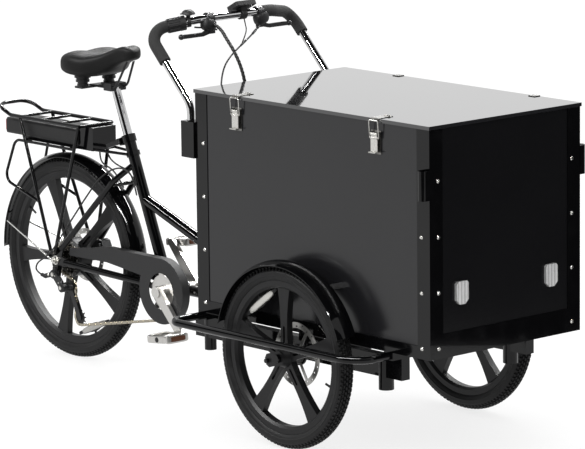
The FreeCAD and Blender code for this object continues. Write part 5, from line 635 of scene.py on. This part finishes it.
def tyre_points(centre, outer, settings):
    """Round section of half the width, carried round the axle; knobs stand in rows on its crown.

    A row is a window across the crown times a window along it, repeated every pitch and shifted by a share
    of one. Two thin rings stand on each flank."""
    half = settings.width / 2
    pitches = int(2 * np.pi * outer / settings.pitch)
    turn = np.linspace(0, 2 * np.pi, pitches * KNOB_STEPS, endpoint=False)
    edge = math.asin((settings.depth - half) / half)
    lift = np.radians(np.r_[FLANK_ANGLES, np.linspace(*CROWN_ANGLES)])
    lift[0] = -edge
    around = np.concatenate([lift, np.pi - lift[-2::-1]])
    cycle = turn[:, None] * pitches / (2 * np.pi)
    from_top = np.degrees(around)[None] - 90
    slant = KNOB_SLANT * np.abs(from_top)
    rows = []
    for angle, wide, shift, sense, long, soft in KNOB_ROWS:
        beat = cycle + shift - np.round(cycle + shift) + sense * slant
        rows += [window(from_top - side * angle, wide, KNOB_SOFT) * window(beat, long, soft)
                 for side in (-1, 1)]
    knobs = np.max(rows, axis=0)
    crown = np.abs(from_top) < TREAD_ANGLE
    rings = RING_HEIGHT * sum(window(np.abs(from_top) - angle, *RING_WIDTH) for angle in RING_ANGLES)
    section = half - settings.tread * crown * (1 - knobs) - FLANK_DROP * ~crown + rings
    radius = outer - half + section * np.sin(around)
    sideways = np.broadcast_to(section * np.cos(around), radius.shape)
    return np.stack([centre[0] + radius * np.cos(turn)[:, None], centre[1] + sideways,
                     centre[2] + radius * np.sin(turn)[:, None]], -1)


# Saddle: half width, crest and skirt in metres at shares of its length from the tail
SADDLE_MARKS = (0, 0.1, 0.24, 0.42, 0.58, 0.72, 0.86, 1)
SADDLE_HALVES = (0.092, 0.102, 0.106, 0.092, 0.062, 0.043, 0.034, 0.029)
SADDLE_CRESTS = (0.930, 0.939, 0.941, 0.936, 0.943, 0.957, 0.967, 0.962)
SADDLE_SKIRTS = (0.878, 0.869, 0.867, 0.869, 0.882, 0.904, 0.920, 0.928)
SADDLE_STEPS = 72


def saddle_points(settings):
    """Sections from tail to nose: half width, crest and skirt are smooth curves along the length.

    A section is a flattened ring: its upper half is a crown with a groove along its middle and a lobe on each
    side, its lower half tucks in under."""
    low, high = (np.array(corner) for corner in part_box("saddle"))
    length = high[0] - low[0]
    along = 0.5 - 0.5 * np.cos(np.linspace(0.03, 1, SADDLE_STEPS) * np.pi)
    ends = np.clip(1 - ((0.09 - along) / 0.09).clip(0) ** 2.4, 0, 1) ** 0.5
    ends *= np.clip(1 - ((along - 0.9) / 0.1).clip(0) ** 2.4, 0.0004, 1) ** 0.5
    half, crest, skirt = (smooth_curve(SADDLE_MARKS, values, along)
                          for values in (SADDLE_HALVES, SADDLE_CRESTS, SADDLE_SKIRTS))
    middle = 0.5 * (crest + skirt)
    crest = middle + (crest - middle) * (0.30 + 0.70 * ends)
    skirt = middle + (skirt - middle) * (0.40 + 0.60 * ends)
    half = half * ends
    turn = np.linspace(0, 2 * np.pi, SADDLE_STEPS, endpoint=False)
    wide = np.sign(np.cos(turn)) * np.abs(np.cos(turn)) ** 0.50
    tall = np.sign(np.sin(turn)) * np.abs(np.sin(turn)) ** 0.56
    y = half[:, None] * wide * np.where(tall < 0, 1 - 0.14 * tall ** 2, 1)
    rear = np.exp(-((along - 0.2) / 0.24) ** 2)[:, None]
    groove = settings.channel * (0.6 + rear) * np.exp(-(y / (0.012 + 0.016 * rear)) ** 2)
    groove *= np.sin(np.pi * along.clip(0, 1))[:, None] ** 0.6
    height = (crest - skirt)[:, None]
    z = np.where(tall > 0, skirt[:, None] + height * (0.45 + 0.55 * tall) - groove * tall.clip(0) ** 2,
                 skirt[:, None] + height * (0.45 + 0.45 * tall))
    x = np.broadcast_to((low[0] + (0.05 + 0.90 * along) * length)[:, None], y.shape)
    return np.stack([x, y, z], -1)


def leaned(points, lean, axis):
    """Points turned about an axis through the origin."""
    return points @ np.array(Matrix.Rotation(lean, 3, axis)).T


# Rows and columns of a rounded block, angle left open at its poles, and sides of a turned part
BLOCK_STEPS = (22, 36)
BLOCK_POLE = 0.02
BARREL_SIDES = 28


def rounded(centre, reach, lean=0.0, axis="Y", square=0.34):
    """Points and faces of a rounded block: a sphere's sines to a power below one, scaled to three reaches."""
    rows, columns = BLOCK_STEPS
    down = np.linspace(BLOCK_POLE, np.pi - BLOCK_POLE, rows)[:, None]
    turn = np.linspace(0, 2 * np.pi, columns, endpoint=False)[None]
    soft = np.stack([np.sin(down) * np.cos(turn), np.sin(down) * np.sin(turn), np.cos(down) + 0 * turn], -1)
    points = np.array(reach) * np.sign(soft) * np.abs(soft) ** square
    faces = grid_faces(rows, columns).tolist() + end_caps(rows, columns)
    return leaned(points.reshape(-1, 3), lean, axis) + centre, faces


def barrel(start, end, radii, marks):
    """Points and faces of a turned part: a straight tube with its radius given at marks from 0 to 1."""
    start, end = np.array(start, float), np.array(end, float)
    return tube(start + np.array(marks)[:, None] * (end - start), np.array(radii), BARREL_SIDES)


def from_axle(route):
    """A route of (x, y, z) millimetres with x counted from the rear axle, as metres in the frame."""
    return np.array(route, float) / 1000 + (REAR[0], 0.0, 0.0)


def held_line(route, step):
    """Points at an even step, in metres, along the smooth curve of a route counted from the rear axle."""
    return evenly(route_line(from_axle(route)), step)


# Tape round the bundle, steps along the cables, ferrules on the thin one as (start, end, radius), in metres
WRAP_SINK = 0.0007
WRAP_PITCH = 0.011
WRAP_RIDGE = 0.0011
WRAP_SIDES = 16
WOUND_STEP = 0.0012
FRONT_STEP = 0.003
REAR_STEP = 0.004
FERRULE_SOFT = 0.0012
FERRULES = ((0.0, 0.016, 0.0042), (0.024, 0.046, 0.0037), (0.084, 0.112, 0.0034))


def wrapped_radius(line, radius, pitch, ridge, sides):
    """Radius along a line and round it: a flat tape wound in a spiral, its edge standing up by a ridge."""
    along = np.r_[0, np.cumsum(np.linalg.norm(np.diff(line, axis=0), axis=1))]
    turn = np.linspace(0, 1, sides, endpoint=False)
    return radius + ridge * ((along[:, None] / pitch + turn) % 1.0)


def stepped_radius(line, radius, steps):
    """Radius along a line, thicker over the stretches given as (start, end, radius) in metres."""
    along = np.r_[0, np.cumsum(np.linalg.norm(np.diff(line, axis=0), axis=1))]
    thick = np.full(len(line), radius)
    for start, end, more in steps:
        share = window(along - (start + end) / 2, (end - start) / 2, FERRULE_SOFT)
        thick = np.maximum(thick, radius + (more - radius) * share)
    return thick


# Routes of the held cables, then blocks, barrels and bolts of small parts, all in millimetres. Routes and the
# changer count x from the rear axle, the pedals' parts from the pedal's middle
BUNDLE = ((767, -101, 1089), (786, -92, 1078), (808, -90, 1050), (834, -82, 1014), (856, -72, 960),
          (866, -68, 900), (868, -64, 845), (868, -64, 790), (894, -64, 790))
THIN = ((768, 70, 1068), (784, 34, 1050), (798, -30, 1022), (824, -104, 990), (850, -146, 955),
        (862, -160, 905), (870, -168, 850), (870, -168, 795), (894, -168, 795))
DISPLAY_LEAD = ((748, 30, 1090), (756, 28, 1074), (772, 18, 1062), (784, 2, 1046), (797, -27, 1020))
SHIFT_LEAD = ((744, -152, 1082), (749, -138, 1080), (751, -118, 1079), (753, -98, 1076), (764, -85, 1070))
GEAR = ((318, -20.5, 560), (306, -27, 596), (268, -46, 616), (200, -60, 578), (138, -66, 508),
        (88, -78, 440), (44, -88, 380), (8, -92, 334), (-34, -92, 306), (-72, -89, 286), (-84, -84, 258),
        (-46.8, -82.5, 250))
BATTERY_LEAD = ((150, -18, 648), (152, -20, 622), (172, -22, 606), (206, -24, 600), (236, -24, 582),
                (262, -22, 548))
MOTOR_LEAD = ((134, 18, 648), (138, 24, 618), (168, 34, 596), (214, 36, 588), (246, 30, 560),
              (268, 22, 520))
PEDAL_BLOCKS = (((40, 0, 0), (6, 41, 12.5)), ((-40, 0, 0), (6, 41, 12.5)), ((0, 37, 0), (42, 5, 10.5)),
                ((0, -37, 0), (42, 5, 10.5)), ((0, 13, 0), (38, 3, 6)), ((0, -13, 0), (38, 3, 6)))
PEDAL_LENSES = (((46.1, 0, 0), (2.2, 27, 7.5)), ((-46.1, 0, 0), (2.2, 27, 7.5)))
PEDAL_BARREL = ((0, -41.5, 0), (0, 41.5, 0), (9, 11.5, 11.5, 9))
PEDAL_BARREL_MARKS = (0, 0.04, 0.96, 1)
CHANGER_BLOCKS = (((22, -86.5, 246), (31, 3.2, 10.5), 0.80), ((20, -77, 243), (29, 3.0, 8), 0.80),
                  ((27, -82, 249), (15, 6.5, 5), 0.80), ((-17, -81, 257), (25, 5.5, 7.5), -0.28),
                  ((52, -66, 231), (13, 5, 6.5), 0.2), ((6, -83, 277), (7, 4, 9), 0.1))
CHANGER_BARRELS = (((4, -73.6, 262), (4, -91, 262), (11, 13.5, 13.5, 12, 12, 13.5, 13.5, 11)),
                   ((40, -57.4, 226), (40, -91, 226), (11, 14, 14, 12.4, 12.4, 14.4, 14.4, 11)),
                   ((-34, -82.5, 249), (-58, -82.8, 252.5), (5, 6.4, 6.4, 4.6, 4.6, 5.6, 5.6, 3.4)))
CHANGER_BOLTS = (((4, -90.6, 262), (4, -93.4, 262), 6.2), ((40, -90.6, 226), (40, -93, 226), 6.0),
                 ((-20, -86, 258), (-20, -89, 258), 4.2), ((14, -89, 259), (14, -91.2, 259), 2.4),
                 ((31, -89, 240), (31, -91.2, 240), 2.4))
CHANGER_MARKS = (0, 0.08, 0.4, 0.42, 0.5, 0.52, 0.92, 1)
BOLT_MARKS = (0, 0.7, 1)
BOLT_RADII = (1, 1, 0.8)

# Hoods over the lever pivots, then reflectors as (body, distance from the axle, degrees), in metres
HOOD_OFFSET = (-0.003, 0.006, 0.016)
HOOD_REACH = (0.0165, 0.024, 0.0195)
HOOD_LEAN = 0.35
HOOD_SQUARE = 0.72
WHEEL_REFLECTORS = (("front_wheel_right", 0.171, 126.0), ("front_wheel_left", 0.171, 126.0),
                    ("rear_wheel", 0.220, -67.0))
CLIP_REACH = (0.077, 0.0026, 0.0058)
LENS_REACH = (0.060, 0.0052, 0.0100)
LENS_SQUARE = 0.55

# Stage in metres: cards as place, facing, width and height; lights as place, target, size and share of the
# key's power; strips as place and target
FLOOR_HALF = 40.0
CARDS = {
    "front_card": ((2.12, 0.98, 0.60), (0.7314, 0.6568, 0.0), 1.6, 1.5),
    "ceiling_card": ((0.4, -0.6, 4.6), (0.01, 0.0, -1.0), 9.0, 9.0),
    "camera_card": ((3.4, -3.0, 1.2), (0.7314, -0.6568, 0.0), 9.0, 3.0),
    "side_card": ((-1.0, -4.4, 2.8), (0.0, 1.0, 0.0), 11.0, 3.6),
}
LIGHTS = {
    "key": ((-2.6, -3.4, 3.6), (-0.2, 0.0, 0.4), 4.6, 1.0),
    "top": ((0.4, 0.6, 4.4), (0.2, 0.0, 0.3), 4.0, 0.6),
    "back": ((-3.6, 3.0, 2.6), (0.0, 0.0, 0.5), 3.0, 0.5),
}
STRIPS = {
    "near_strip": ((0.2, -2.2, 3.0), (0.0, -0.3, 0.4)),
    "far_strip": ((-0.6, 2.4, 3.2), (0.0, 0.2, 0.4)),
}
STRIP_LENGTH = 5.0
STRIP_WIDTH = 0.10

# Camera fitted to the photograph: its width and focal length in pixels, place and axes
SENSOR = 36.0
PHOTO_WIDTH = 585.0
FOCAL_PIXELS = 4291.13
CAMERA_PLACE = (9.06286, -7.94280, 2.74169)
CAMERA_RIGHT = (0.6696757, 0.7425624, -0.0116388)
CAMERA_UP = (-0.1282753, 0.1310924, 0.9830362)
CAMERA_BACK = (0.7314915, -0.6568225, 0.1830418)


class TRICYCLE_OT_finishes(bpy.types.Operator):
    """Gives every solid its finish"""

    bl_idname = "tricycle.finishes"
    bl_label = "Finishes"

    def execute(self, context):
        paint, board, steel = gloss_paint(), faced_board(), bright_steel()
        cast, alloy, dark = cast_black(), polished_alloy(), black_alloy()
        plastic, mirror, sleeve = moulded_plastic(), chrome(), cable_sleeve()
        groups = (
            (paint, "corner_posts bottom_rails chassis_frame wheel_guards front_fenders corner_sockets "
                    "main_frame rear_rack seat_clamp"),
            (gloss_paint("fender_paint", (REAR, float(REAR[2]) - WIRE_GAP)), "rear_fender"),
            (board, "box_sides box_floor"),
            # End panels: the same board at half its colour as painted shade, with less sheen
            (faced_board("end_board", 0.12, 0.5), "box_end_panels"),
            (gloss_lid(), "lid_panel"),
            (cast, "front_wheel_right front_wheel_left rear_wheel"),
            (tyre_rubber("plain_rubber"), "front_tyre_right front_tyre_left rear_tyre"),
            (steel, "box_screws latch_lever_front latch_lever_rear latch_bail_front latch_bail_rear "
                    "rear_axle"),
            (bright_steel("fitting_steel", (0.20, 0.195, 0.185)), "box_fittings lid_fittings"),
            (bright_steel("sprocket_steel", (0.15, 0.145, 0.135), (1.0, 1.0, 1.0)), "cassette"),
            (bright_steel("chain_steel", (0.36, 0.33, 0.27), (1.0, 1.0, 1.0)), "chain"),
            (mirror, "handlebar seat_post"),
            (alloy, "crankset pedal_right pedal_left"),
            (dark, "brake_calipers rear_caliper lever_brackets brake_lever_right brake_lever_left "
                   "derailleur derailleur_cage saddle_frame seat_clamp_lever"),
            (plastic, "bell bell_lever twist_shifter upper_pulley lower_pulley"),
            (display_case(), "display_unit"),
            (moulded_plastic("case_plastic", 1.4), "chain_case"),
            (battery_case(), "battery"),
            (grip_foam(), "handlebar_grips"),
            (reflector_lens("clear_lens", (0.95, 0.95, 0.95)), "front_reflectors"),
            (sleeve, "control_cables rear_cables"),
            (saddle_cover("plain_cover"), "saddle"),
            (wheel_fitting("right_fitting", FRONT_RIGHT), "wheel_fittings_right wheel_fittings_left"),
            (wheel_fitting("rear_fitting", REAR), "wheel_fittings_rear"),
        )
        bare = set(NODES)
        for finish, names in groups:
            for name in names.split():
                NODES[name].data.materials.clear()
                NODES[name].data.materials.append(finish.material)
                bare.discard(name)
        if bare:
            raise RuntimeError("no finish for " + ", ".join(sorted(bare)))
        return {"FINISHED"}


class TRICYCLE_OT_tyres(bpy.types.Operator):
    """Makes the three tyres with their tread"""

    bl_idname = "tricycle.tyres"
    bl_label = "Tyres"

    def execute(self, context):
        rubber = tyre_rubber()
        for name, centre, body in (("front_tyre_right", FRONT_RIGHT, "front_wheel_right"),
                                   ("front_tyre_left", FRONT_LEFT, "front_wheel_left"),
                                   ("rear_tyre", REAR, "rear_wheel")):
            points = tyre_points(centre, centre[2], context.scene.tricycle_tyre)
            mesh = grid_mesh(name, points, wrap_rows=True)
            piece = add_piece("treaded_" + name, mesh, body, rubber)
            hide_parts(name)
        return {"FINISHED"}


class TRICYCLE_OT_saddle(bpy.types.Operator):
    """Makes the saddle's padded cover"""

    bl_idname = "tricycle.saddle"
    bl_label = "Saddle"

    def execute(self, context):
        points = saddle_points(context.scene.tricycle_saddle)
        mesh = grid_mesh("saddle_pad", points, sharp=SOFT_ANGLE)
        cover = add_piece("saddle_pad", mesh, "seat", saddle_cover())
        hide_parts("saddle")
        return {"FINISHED"}


class TRICYCLE_OT_cables(bpy.types.Operator):
    """Makes the cables and leads that the frame and bar hold"""

    bl_idname = "tricycle.cables"
    bl_label = "Cables"

    def execute(self, context):
        sizes = context.scene.tricycle_cable
        sleeve = cable_sleeve("held_sleeve")
        bundle = held_line(BUNDLE, WOUND_STEP)
        wrap = wrapped_radius(bundle, sizes.bundle - WRAP_SINK, WRAP_PITCH, WRAP_RIDGE, WRAP_SIDES)
        thin = held_line(THIN, FRONT_STEP)
        front = [tube(bundle, wrap, WRAP_SIDES), tube(thin, stepped_radius(thin, sizes.sleeve, FERRULES)),
                 tube(held_line(DISPLAY_LEAD, FRONT_STEP), sizes.lead),
                 tube(held_line(SHIFT_LEAD, FRONT_STEP), sizes.sleeve)]
        rear = [tube(held_line(GEAR, REAR_STEP), sizes.sleeve),
                tube(held_line(BATTERY_LEAD, REAR_STEP), sizes.power),
                tube(held_line(MOTOR_LEAD, REAR_STEP), sizes.power)]
        for name, body, parts, old in (("front_cables", "carriage", front, "control_cables"),
                                       ("gear_cables", "rear_frame", rear, "rear_cables")):
            piece = add_piece(name, face_mesh(name, *joined(parts)), body, sleeve)
            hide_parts(old)
        return {"FINISHED"}


class TRICYCLE_OT_fittings(bpy.types.Operator):
    """Makes the hoods over the brake levers' pivots and the clips of the wheels' reflectors"""

    bl_idname = "tricycle.fittings"
    bl_label = "Fittings"

    def execute(self, context):
        black = moulded_plastic("fitting_plastic")
        clear = reflector_lens("wheel_lens", (0.52, 0.51, 0.48))
        for name, side in (("right", -1), ("left", 1)):
            centre = spot("brake_lever_" + name) + np.array((1, side, 1)) * HOOD_OFFSET
            hood = rounded(centre, HOOD_REACH, side * HOOD_LEAN, "X", HOOD_SQUARE)
            mesh = face_mesh(name + "_hood", *hood, sharp=SOFT_ANGLE)
            add_piece(name + "_hood", mesh, "carriage", black)
        for body, reach, angle in WHEEL_REFLECTORS:
            turn = math.radians(angle)
            centre = spot(body) + reach * np.array((math.cos(turn), 0.0, math.sin(turn)))
            lean = math.atan2(-math.cos(turn), -math.sin(turn))
            clip = rounded(centre, CLIP_REACH, lean)
            add_piece(body + "_clip", face_mesh(body + "_clip", *clip), body, black)
            face = rounded(centre, LENS_REACH, lean, square=LENS_SQUARE)
            add_piece(body + "_lens", face_mesh(body + "_lens", *face), body, clear)
        return {"FINISHED"}


class TRICYCLE_OT_pedals(bpy.types.Operator):
    """Makes the two cage pedals with their lenses"""

    bl_idname = "tricycle.pedals"
    bl_label = "Pedals"

    def execute(self, context):
        for name in ("pedal_right", "pedal_left"):
            low, high = (np.array(corner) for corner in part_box(name))
            centre = (low + high) / 2
            parts = [rounded(np.array(place) / 1000, np.array(reach) / 1000)
                     for place, reach in PEDAL_BLOCKS + PEDAL_LENSES]
            parts.append(barrel(*(np.array(values) / 1000 for values in PEDAL_BARREL), PEDAL_BARREL_MARKS))
            points, faces = joined(parts)
            points = leaned(points, -math.radians(PEDAL_LEAN), "Y") + centre
            piece = add_piece("cage_" + name, face_mesh(name, points, faces), name,
                              pedal_metal(name + "_metal", centre))
            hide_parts(name)
        return {"FINISHED"}


class TRICYCLE_OT_changer(bpy.types.Operator):
    """Makes the gear changer's links, knuckles and bolts"""

    bl_idname = "tricycle.changer"
    bl_label = "Gear changer"

    def execute(self, context):
        parts = [rounded(from_axle([place])[0], np.array(reach) / 1000, lean)
                 for place, reach, lean in CHANGER_BLOCKS]
        parts += [barrel(*from_axle((start, end)), np.array(radii) / 1000, CHANGER_MARKS)
                  for start, end, radii in CHANGER_BARRELS]
        body = add_piece("changer_links", face_mesh("changer_links", *joined(parts)), "rear_frame",
                         black_alloy("changer_alloy"))
        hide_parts("derailleur")
        bolts = [barrel(*from_axle((start, end)), radius * np.array(BOLT_RADII) / 1000, BOLT_MARKS)
                 for start, end, radius in CHANGER_BOLTS]
        add_piece("changer_bolts", face_mesh("changer_bolts", *joined(bolts)), "rear_frame",
                  bright_steel("bolt_steel"))
        return {"FINISHED"}


class TRICYCLE_OT_stage(bpy.types.Operator):
    """Sets the floor, the lights and the camera"""

    bl_idname = "tricycle.stage"
    bl_label = "Stage"

    def execute(self, context):
        settings = context.scene.tricycle_stage
        ground = Finish("floor", base_color=[c * 0.25 for c in settings.floor], roughness=0.9,
                        specular_ior_level=0.0, emission_color=tuple(settings.floor),
                        emission_strength=0.85)
        corners = FLOOR_HALF * np.array([(-1, -1, 0), (1, -1, 0), (1, 1, 0), (-1, 1, 0)])
        floor = bpy.data.objects.new("floor", face_mesh("floor", corners, [[0, 1, 2, 3]]))
        floor.data.materials.append(ground.material)
        context.scene.collection.objects.link(floor)
        for name, card in CARDS.items():
            self.card(name, *card)
        for name, (place, target, size, share) in LIGHTS.items():
            self.light(name, place, target, size, settings.key * share)
        for name, (place, target) in STRIPS.items():
            self.strip(name, place, target, settings.strip)
        world = context.scene.world or bpy.data.worlds.new("studio")
        context.scene.world = world
        world.use_nodes = True
        background = world.node_tree.nodes["Background"]
        background.inputs["Color"].default_value = (1.0, 1.0, 1.0, 1.0)
        background.inputs["Strength"].default_value = settings.sky
        camera = bpy.data.cameras.new("camera")
        camera.sensor_width = SENSOR
        camera.lens = SENSOR * FOCAL_PIXELS / PHOTO_WIDTH
        camera.clip_end = 200.0
        view = bpy.data.objects.new("camera", camera)
        turn = Matrix((CAMERA_RIGHT, CAMERA_UP, CAMERA_BACK)).transposed().to_4x4()
        view.matrix_world = Matrix.Translation(CAMERA_PLACE) @ turn
        context.scene.collection.objects.link(view)
        context.scene.camera = view
        context.scene.view_settings.view_transform = "Standard"
        return {"FINISHED"}

    def card(self, name, place, way, width, height):
        """Black card that shows only in reflections, as a studio's dark flag does."""
        turn = np.array(self.aim(way))
        across, up = turn[:3, 0] * width / 2, turn[:3, 1] * height / 2
        middle = np.array(place)
        corners = np.stack([middle - across - up, middle + across - up,
                            middle + across + up, middle - across + up])
        card = bpy.data.objects.new(name, face_mesh(name, corners, [[0, 1, 2, 3]]))
        card.data.materials.append(Finish(name, base_color=(0.004, 0.004, 0.004), roughness=1.0).material)
        card.visible_camera = card.visible_shadow = card.visible_diffuse = card.visible_transmission = False
        bpy.context.scene.collection.objects.link(card)

    def light(self, name, place, target, size, power):
        """Round soft light that does not show in reflections."""
        lamp = bpy.data.lights.new(name, "AREA")
        lamp.shape = "DISK"
        lamp.size = size
        lamp.energy = power
        holder = bpy.data.objects.new(name, lamp)
        holder.visible_glossy = False
        way = np.array(target) - np.array(place)
        holder.matrix_world = Matrix.Translation(place) @ self.aim(way)
        bpy.context.scene.collection.objects.link(holder)

    def strip(self, name, place, target, power):
        """Long thin light that shows only as a highlight on glossy skins."""
        self.light(name, place, target, STRIP_LENGTH, power)
        holder = bpy.data.objects[name]
        holder.data.shape = "RECTANGLE"
        holder.data.size_y = STRIP_WIDTH
        holder.visible_glossy = True
        holder.visible_diffuse = False

    def aim(self, way):
        """Turns -Z to a direction."""
        back = -np.array(way, float) / np.linalg.norm(way)
        right = np.cross((0.0, 0.0, 1.0), back)
        right /= np.linalg.norm(right)
        return Matrix((right, np.cross(back, right), back)).transposed().to_4x4()


OPERATORS = (TRICYCLE_OT_finishes, TRICYCLE_OT_tyres, TRICYCLE_OT_saddle, TRICYCLE_OT_cables,
             TRICYCLE_OT_fittings, TRICYCLE_OT_pedals, TRICYCLE_OT_changer, TRICYCLE_OT_stage)
SETTINGS = {"tricycle_finish": FinishSettings, "tricycle_tyre": TyreSettings,
            "tricycle_saddle": SaddleSettings, "tricycle_cable": CableSettings,
            "tricycle_stage": StageSettings}


class TRICYCLE_PT_panel(bpy.types.Panel):
    """Lists the tricycle's pieces and their settings"""

    bl_idname = "TRICYCLE_PT_panel"
    bl_label = "Cargo tricycle"
    bl_space_type = "VIEW_3D"
    bl_region_type = "UI"
    bl_category = "Tricycle"

    def draw(self, context):
        for operator in OPERATORS:
            self.layout.operator(operator.bl_idname)
        for name, group in SETTINGS.items():
            box = self.layout.box()
            for key in group.__annotations__:
                box.prop(getattr(context.scene, name), key)


CLASSES = tuple(SETTINGS.values()) + OPERATORS + (TRICYCLE_PT_panel,)


def register():
    for item in CLASSES:
        bpy.utils.register_class(item)
    for name, group in SETTINGS.items():
        setattr(bpy.types.Scene, name, PointerProperty(type=group))


def unregister():
    for name in SETTINGS:
        delattr(bpy.types.Scene, name)
    for item in reversed(CLASSES):
        bpy.utils.unregister_class(item)


def main():
    register()
    for operator in OPERATORS:
        group, name = operator.bl_idname.split(".")
        getattr(getattr(bpy.ops, group), name)()


if __name__ == "__main__":
    main()
